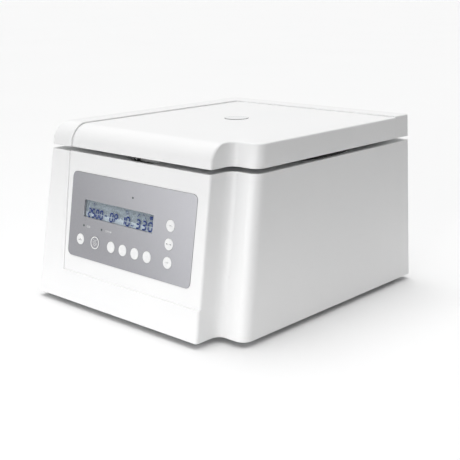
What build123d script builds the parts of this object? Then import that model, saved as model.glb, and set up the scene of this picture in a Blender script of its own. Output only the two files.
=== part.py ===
from build123d import *
import os
from math import cos, hypot, radians, sin, sqrt, tan

os.makedirs("parts", exist_ok=True)

# Bench-top microplate centrifuge. All sizes in mm.
# +Z up, the control front faces -Y, +X is the operator's right.
# The origin is on the bench, below the middle of the footprint.

# The microplate decides the carriers, their sweep decides the bowl, and the bowl
# and the motor below it decide the casing.

# ---------------------------------------------------------------- plate carriers and rotor
CARRIER_X = 128.6         # well of a plate carrier: a microplate is 127.8 by 85.5
CARRIER_Y = 86.4
CARRIER_WALL = 1.6
CARRIER_DEEP = 22.0       # height of the carrier's rim
CARRIER_R = 4.0           # its outer upright corners
CARRIER_FRAME = 12.0      # width of the floor frame that the plate rests on
PAD_T = 1.5
PAD_IN = 2.0              # edge of the rubber pad to the well's wall
SWING_R = 70.0            # spin axis to swing axis
SWING_DROP = 52.0         # swing axis to the carrier's underside
PIN_R = 4.0
RUN_FIT = 0.06            # radial clearance of running fits
EAR_T = 3.0
EAR_W = 60.0              # ear: width at the carrier's rim
EAR_TOP_R = 9.0           # and half width around the pin
EAR_SHOULDER_R = 8.0      # round on the ear's shoulders
EAR_NECK_R = 12.0         # and in its neck, below the pin
EAR_FOOT_R = 1.0
BEAM_T = 6.0              # beams of the rotor yoke
BEAM_H = 16.0
BEAM_END = 12.0           # swing axis to the end of a beam
BEAM_GAP = 2.0            # carrier ear to yoke beam
WEB_W = 20.0              # cross web between hub and beams
WEB_POCKET_W = 12.0
HUB_R = 18.0
HUB_GAP = 10.0            # raised middle of the bowl floor to the hub
HUB_PROUD = 2.0           # hub above the web
TAPER_H = 12.0            # full shaft inside the hub, below its cone
KNOB_R = 14.0
KNOB_H = 12.0
KNOB_GRIPS = 8
KNOB_GRIP_R = 3.0
KNOB_CROWN_IN = 4.0       # knob's rim to its raised crown
KNOB_TAPER = 20.0

# ---------------------------------------------------------------- chamber and drive
BOWL_CLEAR = 5.18         # swept carrier corner to the bowl's wall
FLOOR_CLEAR = 8.16        # swept carrier edge to the bowl's floor
TOP_CLEAR = 11.2          # carrier swung out to the deck's level
BOWL_T = 1.2
BOWL_CORNER_R = 14.0
BOSS_R = 40.0             # raised middle of the bowl floor
BOSS_H = 6.0
BOSS_HOLE_R = 26.0
FLANGE_W = 6.0            # bowl flange that lies on the deck
MOUTH_GAP = 0.5           # bowl to the deck's edge around it
SEAL_IN = 2.5             # bowl wall to the seal's inner edge
SEAL_W = 7.5
SEAL_BEVEL = 1.5
SHAFT_R = 7.0
SHAFT_STEP = 2.0          # how much the cone takes off the shaft
MOTOR_R = 52.0
MOTOR_H = 42.0
MOTOR_FLANGE_T = 6.0
BEARING_T = 2.0           # lower bearing, under the shaft's end
MOTOR_NECK_R = 22.0
DAMPER_OUT = 12.0         # motor's edge to the middle of a damper
DAMPER_R = 8.0
DAMPER_H = 14.0
DAMPER_COUNT = 3
NUT_R = 4.2
NUT_T = 3.0
PLATE_T = 2.0             # base plate and brackets
MOTOR_PLATE_T = 3.0
BOOT_ROOM = 13.0          # motor to the bowl's floor
BOOT_T = 3.0              # wall of the rubber boot between them
BOOT_FOLD = 4.0           # depth of its folds

# ---------------------------------------------------------------- casing
SIDE_MARGIN = 25.0        # bowl wall to the casing's side, at its lower edge
BACK_MARGIN = 32.0
FRONT_MARGIN = 73.0
SHOULDER_W = 44.4         # the nose's right side to the casing's right side
SHOULDER_D = 40.3         # depth of the nose in front of the right shoulder
FRONT_LEAN = 9.15         # degrees that the front leans back
LEFT_DRAFT = 2.04         # the same for the other walls
RIGHT_DRAFT = 1.93
NOSE_DRAFT = 1.38
BACK_DRAFT = 2.04
FLUTE_R = 12.0            # hollow upright corner between nose and shoulder
SHOULDER_R = 14.0         # rounded upright corner of the shoulder
EDGE_R = 4.0              # upright corners of the nose
BACK_RIGHT_R = 5.5
BACK_LEFT_R = 20.0
WALL = 3.0                # moulded wall thickness
BAND_STEP = 2.2           # how far plinth and left band stand proud of the front
BAND_EDGE_R = 0.8
SEAM_H = 41.6             # height of the plinth
BAND_W_LOW = 52.5         # left band: width at the plinth
BAND_W_HIGH = 47.5        # and at the deck
FOOT_H = 8.0              # bench to the lower edge of the casing

# ---------------------------------------------------------------- lid
LID_GAP = 6.2             # open gap between deck and lid edge
LID_T = 30.4              # lid thickness at its recessed panel
RIM_H = 1.7               # raised L-shaped rim above that panel
RIM_LEFT_W = 52.0         # casing's left side to the rim's inner edge, on top
RIM_LOW_W = 49.4          # the same, at the lid's lower edge
RIM_BACK_W = 45.0         # casing's back to the front edge of the rim's back bar
RIM_SEAM_W = 0.9          # fine seam along the foot of the rim's left bar
RIM_SEAM_D = 1.4
SIDE_STEP = 0.2           # how far the rim stands proud of sides and back
STRAIGHT_H = 9.0          # upright part of the lid edge, below the rounding
FRONT_ROUND = 21.0        # how far the rounding runs in over the nose
LEFT_ROUND = 9.0          # and over the left side
CREST_R = 2.0             # small round on every other top edge
HOLLOW_SHARE = 0.64       # share of the thickness at which the hollow's middle stage ends
LID_OPEN_GAP = 0.3        # lid liner to its seal when closed
RIB_T = 2.4
PORT_R = 17.85            # sight port over the spin axis
PORT_WALL = 4.0
PORT_LEDGE = 2.5          # ledge that carries the port's window
PORT_RECESS = 2.6
PORT_SEAT = 14.0
PORT_GAP = 0.3
SLEEVE_T = 2.2
LINER_T = 1.5
LINER_GAP = 0.4
DISH_IN = 8.0             # bowl wall to the edge of the liner's dish
DISH_H = 9.0
LID_POST_OUT = 9.0        # seal to the middle of a lid post
LID_POST_ANGLES = (-70, -45, 45, 77)
LID_POST_Z = 2.2          # lid edge to the posts' lower end
LID_SCREW_L = 16.4

# ---------------------------------------------------------------- controls
FASCIA_W = 244.8
FASCIA_H = 119.2
FASCIA_U = -4.1           # middle of the fascia, from the casing's middle
FASCIA_DROP = 26.5        # deck edge to the fascia, down the slope
FASCIA_T = 3.0
FASCIA_PROUD = 0.6
FASCIA_R = 8.0
FASCIA_GAP = 0.3
FRAME_W = 5.0             # frame of the housing around the fascia's recess
LEDGE_W = 6.0             # ledge that the fascia lies on
LCD_W = 140.2
LCD_H = 24.2
LCD_ACROSS = -23.2        # middle of the display, from the fascia's middle
LCD_DROP = 49.0           # and below the fascia's upper edge
LCD_DEEP = 2.0            # fascia face to window face
LCD_R = 1.5
LCD_FIT = 0.2
LCD_EDGE = 4.0            # window flange behind the fascia
LCD_EDGE_T = 1.2
MODULE_EDGE_W = 3.0
MODULE_EDGE_H = 6.0
KEY_R = 7.75
KEY_GAP = 0.25
KEY_PITCH = 24.0
KEY_ROW_RISE = 25.6       # fascia's lower edge to the key row
KEY_ROW_ACROSS = -31.3    # first key of the row, from the fascia's middle
COLUMN_IN = 43.1          # key column, from the fascia's right edge
RELEASE_IN = 25.8         # release key, from its left edge
PULSE_ACROSS = -64.8
KEY_PROUD = 0.4
KEY_TRAVEL = 0.8
KEY_EDGE = 1.2            # flange behind the fascia
KEY_EDGE_T = 1.0
RING_KEY_R = 9.0
STEM_R = 2.5
SWITCH_W = 6.0
SWITCH_H = 3.5
BUTTON_R = 1.7
BUTTON_H = 1.2
BUTTON_GAP = 0.4
LAMP_R = 1.4
LAMP_GAP = 0.15
LAMP_PROUD = 0.2
LAMP_LEG_R = 1.0
LAMP_DROP = 20.8          # upper lamp below the fascia's upper edge
LAMP_ACROSS = 4.6
MARK_ACROSS = (-91.4, -53.3)
BOARD_GAP = 13.0          # fascia face to the control board
BOARD_T = 1.6
BOARD_IN = 7.0            # board's edge in from the fascia's edge
BOARD_POST_R = 3.5
BOARD_POST_U = 14.0       # board posts in from the fascia's edges
BOARD_POST_V = 12.0

# ---------------------------------------------------------------- latch and hinges
SLOT_W = 50.0
SLOT_D = 15.0
SLOT_R = 2.0
SLOT_IN = 12.8            # deck's front edge to the middle of the slot
STRIKER_X = -13.0
STRIKER_R = 1.8
STRIKER_W = 8.4           # middle to middle of the striker's legs
STRIKER_DROP = 26.0
STRIKER_PLATE_L = 30.0
STRIKER_PLATE_W = 13.0
STRIKER_PLATE_T = 2.0
POCKET_DEEP = 30.0
POCKET_WALL = 2.0
BOLT_R = 1.9
BOLT_L = 24.0
BOLT_GAP = 1.0            # bolt to the striker's cross bar
BOLT_REST = 6.0           # how far the drawn bolt shows in the pocket
SOLENOID_L = 30.0
SOLENOID_W = 15.0
HINGE_X = 100.0
HINGE_IN = 6.5            # hinge line in front of the casing's back
KNUCKLE_R = 5.5
KNUCKLE_GAP = 0.5         # knuckle to the notches around it
HINGE_PIN_R = 2.5
PIN_PROUD = 1.0
LEAF_W = 36.0
LEAF_L = 28.0
LEAF_T = 2.9
LID_KNUCKLE_W = 15.0
LEAF_SCREW_R = 1.6
LEAF_SCREW_U = 11.0       # leaf screws from the leaf's middle
LEAF_SCREW_V = 19.0       # and in front of the hinge line
LEAF_SCREW_SINK = 0.6
LEAF_NUT_L = 2.0
HINGE_GAP = 0.3           # between knuckles, and between leaves

# ---------------------------------------------------------------- power electronics
PSU_SIDE = 14.0           # casing's left side to the supply
PSU_BACK = 52.5           # casing's back to the supply
PSU_W = 86.0
PSU_L = 140.0
PSU_H = 48.0
PSU_SLOT_W = 4.0
PSU_SLOT_PITCH = 12.0
PSU_SLOT_IN = 10.0
DRIVER_SIDE = 17.0
DRIVER_BACK = 77.5
DRIVER_W = 80.0
DRIVER_L = 110.0
DRIVER_POST_H = 6.0
DRIVER_POST_R = 3.0
DRIVER_POST_IN = 5.0
SINK_W = 50.0
SINK_L = 60.0
SINK_T = 4.0
FIN_T = 2.0
FIN_H = 20.0
FIN_PITCH = 7.0
FIN_COUNT = 7

# ---------------------------------------------------------------- back wall
INLET_U = 105.0           # mains inlet, to the left as seen from the front
FITTING_V = 42.0          # height of inlet and switch
INLET_W = 28.0
INLET_H = 20.0
INLET_DEEP = 22.0
INLET_FLANGE_W = 10.0
INLET_FLANGE_H = 2.0
INLET_FLANGE_T = 2.0
INLET_FLANGE_R = 3.0
INLET_WALL = 1.8
INLET_FIT = 0.2
INLET_SCREW_OUT = 5.5
PIN_W = 2.0
PIN_H = 4.0
PIN_PITCH = 7.0
PIN_STEP = 2.0            # middle pin above the other two
PIN_IN = 6.0              # inlet's face to the pins' ends
ROCKER_U = 62.0
ROCKER_W = 10.0
ROCKER_H = 17.6
ROCKER_FOOT_IN = 0.7      # foot narrower than the top, at each end
ROCKER_LOW = 5.0          # pivot down to the rocker's foot
ROCKER_HIGH = 5.6         # pivot up to its raised ends
ROCKER_MIDDLE = 4.2       # and to the dip between them
ROCKER_EDGE_R = 0.6
ROCKER_DIP_R = 8.0
ROCKER_ROOM = 1.2         # rocker's ends to the bezel's pocket
ROCKER_TILT = 8.0         # degrees to either side
ROCKER_SINK = 2.0         # pivot below the recess floor
ROCKER_GAP = 0.5
TRUNNION_R = 1.6
TRUNNION_L = 0.8
BEZEL_EDGE = 2.2
BEZEL_FIT = 0.2
BEZEL_T = 1.5
BEZEL_WALL = 1.3
BEZEL_DEEP = 16.0
BEZEL_POCKET = 12.0
RECESS_DEEP = 6.0         # recess of the back wall around inlet and switch
RECESS_W = 92.0
RECESS_H = 40.0
RECESS_U = 92.0
RECESS_R = 5.0
VENT_W = 4.0
VENT_H = 46.0
VENT_PITCH = 11.0
VENT_COUNT = 12
VENT_U = -60.0
VENT_V = 62.0

# ---------------------------------------------------------------- fasteners and feet
BOSS_POST_R = 5.0
BOSS_POST_H = 20.0
BOSS_BORE_END = 4.0       # solid end of a post above its bore
POST_IN = 7.0             # posts in from the casing's sides and back
POST_FRONT_IN = 8.5
SIDE_POST_Y = (-120.0, 50.0)
FRONT_POST_X = (-90.0, 60.0)
BACK_POST_X = (-20.0, 150.0)
SCREW_R = 1.5
SCREW_GAP = 0.1
SCREW_END = 2.0
CROSS_L = 3.2             # cross recess in a screw head
CROSS_W = 0.8
CROSS_D = 1.0
LEAF_CROSS_L = 2.2        # and in the ends of the leaf screws
LEAF_CROSS_W = 0.6
HEAD_R = 3.0
HEAD_T = 1.6
PLATE_GAP = 0.4           # base plate to the walls around it
FOOT_R = 14.0
FOOT_TAPER = 10.0
FOOT_HOLE_R = 5.0
FOOT_SIDE_IN = 35.0
FOOT_FRONT_IN = 37.5
FOOT_BACK_IN = 47.5
FOOT_SHOULDER_IN = 67.2
BASE_VENT_X = 125.0
BASE_VENT_Y = -60.0
BASE_VENT_W = 4.0
BASE_VENT_L = 60.0
BASE_VENT_PITCH = 10.0
BASE_VENT_COUNT = 6

# ---------------------------------------------------------------- derived sizes and places
TRAY_X = CARRIER_Y + 2 * CARRIER_WALL
TRAY_Y = CARRIER_X + 2 * CARRIER_WALL
EAR_Y = TRAY_Y / 2
BEAM_Y = EAR_Y + EAR_T + BEAM_GAP
SWEEP_R = hypot(TRAY_X / 2, SWING_DROP)
BOWL_R = hypot(SWING_R + SWEEP_R, EAR_Y + EAR_T) + BOWL_CLEAR
WIDTH = 2 * (BOWL_R + SIDE_MARGIN)
DEPTH = FRONT_MARGIN + 2 * BOWL_R + BACK_MARGIN
AXIS_Y = DEPTH / 2 - BACK_MARGIN - BOWL_R
BASE_TOP_Z = FOOT_H + PLATE_T
MOTOR_PLATE_Z = BASE_TOP_Z + DAMPER_H
MOTOR_Z = MOTOR_PLATE_Z + MOTOR_PLATE_T
MOTOR_TOP_Z = MOTOR_Z + MOTOR_H
BOWL_FLOOR_Z = MOTOR_TOP_Z + BOOT_ROOM
SWING_Z = BOWL_FLOOR_Z + BOWL_T + FLOOR_CLEAR + SWEEP_R
DECK_Z = SWING_Z + TRAY_X / 2 + TOP_CLEAR
BODY_H = DECK_Z - FOOT_H
LID_Z = DECK_Z + LID_GAP
LID_TOP_Z = LID_Z + LID_T
RIM_TOP_Z = LID_TOP_Z + RIM_H
FLANGE_R = BOWL_R + FLANGE_W
SEAL_OUT_R = BOWL_R + SEAL_IN + SEAL_W
DISH_R = BOWL_R - DISH_IN
HINGE_Y = DEPTH / 2 - HINGE_IN
HINGE_Z = DECK_Z + LID_GAP / 2
FASCIA_V = BODY_H / cos(radians(FRONT_LEAN)) - FASCIA_DROP - FASCIA_H / 2
LCD_U = FASCIA_U + LCD_ACROSS
LCD_V = FASCIA_V + FASCIA_H / 2 - LCD_DROP
KEY_ROW_U = FASCIA_U + KEY_ROW_ACROSS
KEY_ROW_V = FASCIA_V - FASCIA_H / 2 + KEY_ROW_RISE
KEY_COLUMN_U = FASCIA_U + FASCIA_W / 2 - COLUMN_IN
MARK_V = (LCD_V - LCD_H / 2 + KEY_ROW_V + KEY_R) / 2
FASCIA_BACK = FASCIA_PROUD - FASCIA_T
BOARD_TOP = FASCIA_PROUD - BOARD_GAP
STEM_END = BOARD_TOP + SWITCH_H + BUTTON_H + BUTTON_GAP + KEY_TRAVEL
SLOT_Y = -DEPTH / 2 + BODY_H * tan(radians(FRONT_LEAN)) + BAND_STEP + SLOT_IN
BOLT_Z = LID_Z - STRIKER_DROP + STRIKER_R + BOLT_R + BOLT_GAP
POCKET_Z = DECK_Z - WALL
POCKET_X = SLOT_W / 2 + POCKET_WALL
DAMPER_RING_R = MOTOR_R + DAMPER_OUT
BOOT_Z = MOTOR_TOP_Z - BOOT_T
BOOT_TOP_Z = BOWL_FLOOR_Z + BOSS_H
HUB_Z = BOOT_TOP_Z + BOWL_T + HUB_GAP
WEB_Z = SWING_Z - BEAM_H / 2
HUB_TOP_Z = WEB_Z + BEAM_H + HUB_PROUD
TRAY_Z = SWING_Z - SWING_DROP
PSU_X = -WIDTH / 2 + PSU_SIDE + PSU_W / 2
PSU_Y = DEPTH / 2 - PSU_BACK - PSU_L / 2
DRIVER_X = WIDTH / 2 - DRIVER_SIDE - DRIVER_W / 2
DRIVER_Y = DEPTH / 2 - DRIVER_BACK - DRIVER_L / 2

# Sloping front: u runs to the right, v up the slope, the normal points outwards.
front_plane = Plane(
    origin=(0, -DEPTH / 2 + BAND_STEP, FOOT_H),
    x_dir=(1, 0, 0),
    z_dir=(0, -cos(radians(FRONT_LEAN)), sin(radians(FRONT_LEAN))),
)
# Back wall: u runs to the left as seen from the front.
back_plane = Plane(
    origin=(0, DEPTH / 2, FOOT_H),
    x_dir=(-1, 0, 0),
    z_dir=(0, cos(radians(BACK_DRAFT)), sin(radians(BACK_DRAFT))),
)
# Floor of the recess that holds the mains fittings.
fitting_plane = back_plane.offset(-RECESS_DEEP)
# Upright plane through the spin axis, for turned pieces: local x is the radius.
turning_plane = Plane(origin=(0, AXIS_Y, 0), x_dir=(1, 0, 0), z_dir=(0, -1, 0))
spin_axis = Axis((0, AXIS_Y, 0), (0, 0, 1))
# Upright plane across the machine, through the hinge line: local x is Y, local y is Z.
side_plane = Plane(origin=(0, 0, 0), x_dir=(0, 1, 0), z_dir=(1, 0, 0))
notch_planes = [side_plane.offset(side * HINGE_X - LEAF_W / 2 - KNUCKLE_GAP) for side in (-1, 1)]
fascia_plane = front_plane.offset(FASCIA_BACK)

# ---------------------------------------------------------------- places of what repeats
key_places = {
    "release_key": (FASCIA_U - FASCIA_W / 2 + RELEASE_IN, KEY_ROW_V),
    "pulse_key": (FASCIA_U + PULSE_ACROSS, KEY_ROW_V),
}
for index in range(4):
    key_places[f"row_key_{index + 1}"] = (KEY_ROW_U + index * KEY_PITCH, KEY_ROW_V)
for index in range(3):
    key_places[f"column_key_{index + 1}"] = (KEY_COLUMN_U, KEY_ROW_V + index * KEY_PITCH)
key_radii = {name: RING_KEY_R if name == "pulse_key" else KEY_R for name in key_places}
lamp_places = [(FASCIA_U + LAMP_ACROSS, FASCIA_V + FASCIA_H / 2 - LAMP_DROP)]
for across in MARK_ACROSS:
    lamp_places.append((FASCIA_U + across, MARK_V))
board_post_places = [
    (FASCIA_U + side * (FASCIA_W / 2 - BOARD_POST_U), FASCIA_V + row * (FASCIA_H / 2 - BOARD_POST_V))
    for side in (-1, 1)
    for row in (-1, 1)
]
post_places = [(side * (WIDTH / 2 - POST_IN), y) for side in (-1, 1) for y in SIDE_POST_Y]
for x in FRONT_POST_X:
    post_places.append((x, -DEPTH / 2 + POST_FRONT_IN))
for x in BACK_POST_X:
    post_places.append((x, DEPTH / 2 - POST_IN))
foot_places = [
    (-WIDTH / 2 + FOOT_SIDE_IN, -DEPTH / 2 + FOOT_FRONT_IN),
    (WIDTH / 2 - FOOT_SIDE_IN, -DEPTH / 2 + SHOULDER_D + FOOT_SHOULDER_IN),
    (-WIDTH / 2 + FOOT_SIDE_IN, DEPTH / 2 - FOOT_BACK_IN),
    (WIDTH / 2 - FOOT_SIDE_IN, DEPTH / 2 - FOOT_BACK_IN),
]
lid_post_ring = SEAL_OUT_R + LID_POST_OUT
lid_post_places = [
    (side * lid_post_ring * cos(radians(angle)), AXIS_Y + lid_post_ring * sin(radians(angle)))
    for side in (-1, 1)
    for angle in LID_POST_ANGLES
]
leaf_screw_places = [
    (side * HINGE_X + end * LEAF_SCREW_U, HINGE_Y - LEAF_SCREW_V) for side in (-1, 1) for end in (-1, 1)
]
inlet_screw_places = [
    (INLET_U + side * (INLET_W / 2 + INLET_SCREW_OUT), FITTING_V) for side in (-1, 1)
]
damper_angles = [90 + index * 360 / DAMPER_COUNT for index in range(DAMPER_COUNT)]
damper_places = [
    (DAMPER_RING_R * cos(radians(angle)), AXIS_Y + DAMPER_RING_R * sin(radians(angle)))
    for angle in damper_angles
]


def drafted(height, angle):
    """How far a wall with a draft in degrees moves in over a height."""
    return height * tan(radians(angle))


def casing_plan(height, front=0.0, nose=0.0, shoulder=0.0, right=0.0, back=0.0, left=0.0):
    """Plan of the casing at a height above its lower edge, each wall moved in by its inset."""
    left_x = -WIDTH / 2 + drafted(height, LEFT_DRAFT) + left
    right_x = WIDTH / 2 - drafted(height, RIGHT_DRAFT) - right
    nose_x = WIDTH / 2 - SHOULDER_W - drafted(height, NOSE_DRAFT) - nose
    front_y = -DEPTH / 2 + drafted(height, FRONT_LEAN) + front
    shoulder_y = -DEPTH / 2 + SHOULDER_D + drafted(height, FRONT_LEAN) + shoulder
    back_y = DEPTH / 2 - drafted(height, BACK_DRAFT) - back
    corners = [
        (left_x, front_y),
        (nose_x, front_y),
        (nose_x, shoulder_y),
        (right_x, shoulder_y),
        (right_x, back_y),
        (left_x, back_y),
    ]
    radii = [
        EDGE_R,
        EDGE_R,
        FLUTE_R + shoulder / 2,
        SHOULDER_R - right / 2,
        BACK_RIGHT_R - right / 2,
        BACK_LEFT_R - left / 2,
    ]
    with BuildLine() as outline:
        FilletPolyline(*corners, radius=radii, close=True)
    make_face(outline.edges())


def inner_plan(height, gap=0.0):
    """Plan of the room inside the casing's walls, less a gap."""
    inset = WALL + gap
    casing_plan(height, BAND_STEP + inset, inset, inset, inset, inset, inset)


def band_plan(height, width):
    """Plan of the left band, which stands proud of the front, at a height above the lower edge."""
    left_x = -WIDTH / 2 + drafted(height, LEFT_DRAFT)
    right_x = -WIDTH / 2 + width
    front_y = -DEPTH / 2 + drafted(height, FRONT_LEAN)
    back_y = front_y + EDGE_R + BAND_STEP
    corners = [(left_x, front_y), (right_x, front_y), (right_x, back_y), (left_x, back_y)]
    with BuildLine() as outline:
        FilletPolyline(*corners, radius=[EDGE_R, BAND_EDGE_R, BAND_EDGE_R, BAND_EDGE_R], close=True)
    make_face(outline.edges())


def lid_insets(rise, thickness, step):
    """Insets of the lid's top edge at a rise above its lower edge, for a lid of a thickness."""
    climb = min(max(rise - STRAIGHT_H, 0) / (thickness - STRAIGHT_H), 1)
    roll = 1 - sqrt(1 - climb**2)
    reach = min(max(rise - thickness + CREST_R, 0), CREST_R)
    crest = CREST_R - sqrt(CREST_R**2 - reach**2)
    return dict(
        front=BAND_STEP * step + FRONT_ROUND * roll,
        nose=crest,
        shoulder=crest,
        right=SIDE_STEP * step + crest,
        back=SIDE_STEP * step + crest,
        left=SIDE_STEP * step + LEFT_ROUND * roll,
    )


# ================================================================ housing
# One moulded shell: plinth, drafted walls, fluted right front corner, deck.
with BuildPart() as housing:
    with BuildSketch(Plane.XY.offset(FOOT_H)):
        casing_plan(0)
    with BuildSketch(Plane.XY.offset(FOOT_H + SEAM_H)):
        casing_plan(SEAM_H)
    loft(ruled=True)
    with BuildSketch(Plane.XY.offset(FOOT_H + SEAM_H)):
        casing_plan(SEAM_H, front=BAND_STEP)
    with BuildSketch(Plane.XY.offset(DECK_Z)):
        casing_plan(BODY_H, front=BAND_STEP)
    loft(ruled=True)
    # left band, flush with the plinth
    with BuildSketch(Plane.XY.offset(FOOT_H + SEAM_H)):
        band_plan(SEAM_H, BAND_W_LOW)
    with BuildSketch(Plane.XY.offset(DECK_Z)):
        band_plan(BODY_H, BAND_W_HIGH)
    loft(ruled=True)
    # hollow, open below
    with BuildSketch(Plane.XY.offset(FOOT_H)):
        inner_plan(0)
    with BuildSketch(Plane.XY.offset(DECK_Z - WALL)):
        inner_plan(BODY_H - WALL)
    loft(ruled=True, mode=Mode.SUBTRACT)
    # chamber mouth and latch slot in the deck
    with BuildSketch(Plane.XY.offset(DECK_Z)):
        with Locations((0, AXIS_Y)):
            Circle(BOWL_R + BOWL_T + MOUTH_GAP)
        with Locations((0, SLOT_Y)):
            RectangleRounded(SLOT_W, SLOT_D, SLOT_R)
    extrude(amount=-2 * WALL, mode=Mode.SUBTRACT)
    # frame behind the fascia, its recess and its window
    with BuildSketch(front_plane.offset(-WALL / 2)):
        with Locations((FASCIA_U, FASCIA_V)):
            Rectangle(FASCIA_W + 2 * FRAME_W, FASCIA_H + 2 * FRAME_W)
    extrude(amount=-WALL - FASCIA_T / 3)
    with BuildSketch(fascia_plane):
        with Locations((FASCIA_U, FASCIA_V)):
            RectangleRounded(FASCIA_W + 2 * FASCIA_GAP, FASCIA_H + 2 * FASCIA_GAP, FASCIA_R)
    extrude(amount=2 * FASCIA_T, mode=Mode.SUBTRACT)
    with BuildSketch(front_plane.offset(FASCIA_T)):
        with Locations((FASCIA_U, FASCIA_V)):
            Rectangle(FASCIA_W - 2 * LEDGE_W, FASCIA_H - 2 * LEDGE_W)
    extrude(amount=-6 * FASCIA_T, mode=Mode.SUBTRACT)
    # notches for the hinge knuckles, and holes for the leaf screws
    with BuildSketch(*notch_planes):
        with Locations((HINGE_Y, HINGE_Z)):
            Circle(KNUCKLE_R + KNUCKLE_GAP)
    extrude(amount=LEAF_W + 2 * KNUCKLE_GAP, mode=Mode.SUBTRACT)
    with BuildSketch(Plane.XY.offset(DECK_Z)):
        with Locations(*leaf_screw_places):
            Circle(LEAF_SCREW_R + SCREW_GAP)
    extrude(amount=-2 * WALL, mode=Mode.SUBTRACT)
    # back wall: recess for the mains fittings, cooling slots, cut-outs
    with BuildSketch(back_plane.offset(-WALL / 2)):
        with Locations((RECESS_U, FITTING_V)):
            Rectangle(RECESS_W + 2 * WALL, RECESS_H + 2 * WALL)
    extrude(amount=-RECESS_DEEP - WALL / 2)
    with BuildSketch(fitting_plane):
        with Locations((RECESS_U, FITTING_V)):
            RectangleRounded(RECESS_W, RECESS_H, RECESS_R)
    extrude(amount=2 * RECESS_DEEP, mode=Mode.SUBTRACT)
    with BuildSketch(back_plane.offset(WALL)):
        with Locations((VENT_U, VENT_V)):
            with GridLocations(VENT_PITCH, 1, VENT_COUNT, 1):
                Rectangle(VENT_W, VENT_H)
        with Locations((INLET_U, FITTING_V)):
            Rectangle(INLET_W, INLET_H)
        with Locations((ROCKER_U, FITTING_V)):
            Rectangle(
                ROCKER_W + 2 * (ROCKER_GAP + BEZEL_WALL + BEZEL_FIT),
                ROCKER_H + 2 * (ROCKER_ROOM + BEZEL_WALL + BEZEL_FIT),
            )
        with Locations(*inlet_screw_places):
            Circle(SCREW_R + SCREW_GAP)
    extrude(amount=-RECESS_DEEP - 3 * WALL, mode=Mode.SUBTRACT)
    # posts for the base plate screws
    with BuildSketch(Plane.XY.offset(BASE_TOP_Z)):
        with Locations(*post_places):
            Circle(BOSS_POST_R)
    extrude(amount=BOSS_POST_H)
    with BuildSketch(Plane.XY.offset(BASE_TOP_Z)):
        with Locations(*post_places):
            Circle(SCREW_R)
    extrude(amount=BOSS_POST_H - BOSS_BORE_END, mode=Mode.SUBTRACT)
housing.part.label = "housing"
export_step(housing.part, "parts/housing.step")

# ================================================================ base plate and feet
with BuildPart() as base_plate:
    with BuildSketch(Plane.XY.offset(FOOT_H)):
        inner_plan(0, gap=PLATE_GAP)
        with Locations(*post_places):
            Circle(SCREW_R + SCREW_GAP, mode=Mode.SUBTRACT)
        with Locations((-BASE_VENT_X, BASE_VENT_Y), (BASE_VENT_X, BASE_VENT_Y)):
            with GridLocations(BASE_VENT_PITCH, 1, BASE_VENT_COUNT, 1):
                Rectangle(BASE_VENT_W, BASE_VENT_L, mode=Mode.SUBTRACT)
    extrude(amount=PLATE_T)
base_plate.part.label = "base_plate"
export_step(base_plate.part, "parts/base_plate.step")

with BuildPart() as rubber_feet:
    with BuildSketch(Plane.XY.offset(FOOT_H)):
        with Locations(*foot_places):
            Circle(FOOT_R)
            Circle(FOOT_HOLE_R, mode=Mode.SUBTRACT)
    extrude(amount=-FOOT_H, taper=FOOT_TAPER)
rubber_feet.part.label = "rubber_feet"
export_step(rubber_feet.part, "parts/rubber_feet.step")

with BuildPart() as base_screws:
    with BuildSketch(Plane.XY.offset(FOOT_H - HEAD_T)):
        with Locations(*post_places):
            Circle(HEAD_R)
    extrude(amount=HEAD_T)
    with BuildSketch(Plane.XY.offset(FOOT_H)):
        with Locations(*post_places):
            Circle(SCREW_R)
    extrude(amount=PLATE_T + BOSS_POST_H - BOSS_BORE_END - SCREW_END)
    with BuildSketch(Plane.XY.offset(FOOT_H - HEAD_T)):
        with Locations(*post_places):
            Rectangle(CROSS_L, CROSS_W)
            Rectangle(CROSS_W, CROSS_L)
    extrude(amount=CROSS_D, mode=Mode.SUBTRACT)
base_screws.part.label = "base_screws"
export_step(base_screws.part, "parts/base_screws.step")

# ================================================================ control front
with BuildPart() as control_fascia:
    with BuildSketch(fascia_plane):
        with Locations((FASCIA_U, FASCIA_V)):
            RectangleRounded(FASCIA_W, FASCIA_H, FASCIA_R)
        with Locations((LCD_U, LCD_V)):
            RectangleRounded(LCD_W, LCD_H, LCD_R, mode=Mode.SUBTRACT)
        for name, place in key_places.items():
            with Locations(place):
                Circle(key_radii[name] + KEY_GAP, mode=Mode.SUBTRACT)
        with Locations(*lamp_places):
            Circle(LAMP_R + LAMP_GAP, mode=Mode.SUBTRACT)
    extrude(amount=FASCIA_T)
    with BuildSketch(fascia_plane):
        with Locations(*board_post_places):
            Circle(BOARD_POST_R)
    extrude(amount=BOARD_TOP - FASCIA_BACK)
control_fascia.part.label = "control_fascia"
export_step(control_fascia.part, "parts/control_fascia.step")

with BuildPart() as display_window:
    with BuildSketch(front_plane.offset(FASCIA_PROUD - LCD_DEEP)):
        with Locations((LCD_U, LCD_V)):
            RectangleRounded(LCD_W - 2 * LCD_FIT, LCD_H - 2 * LCD_FIT, LCD_R)
    extrude(amount=LCD_DEEP - FASCIA_T)
    with BuildSketch(fascia_plane):
        with Locations((LCD_U, LCD_V)):
            Rectangle(LCD_W + 2 * LCD_EDGE, LCD_H + 2 * LCD_EDGE)
    extrude(amount=-LCD_EDGE_T)
display_window.part.label = "display_window"
export_step(display_window.part, "parts/display_window.step")

with BuildPart() as display_module:
    with BuildSketch(front_plane.offset(BOARD_TOP)):
        with Locations((LCD_U, LCD_V)):
            Rectangle(LCD_W + 2 * MODULE_EDGE_W, LCD_H + 2 * MODULE_EDGE_H)
    extrude(amount=FASCIA_BACK - LCD_EDGE_T - BOARD_TOP)
display_module.part.label = "display_module"
export_step(display_module.part, "parts/display_module.step")

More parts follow.
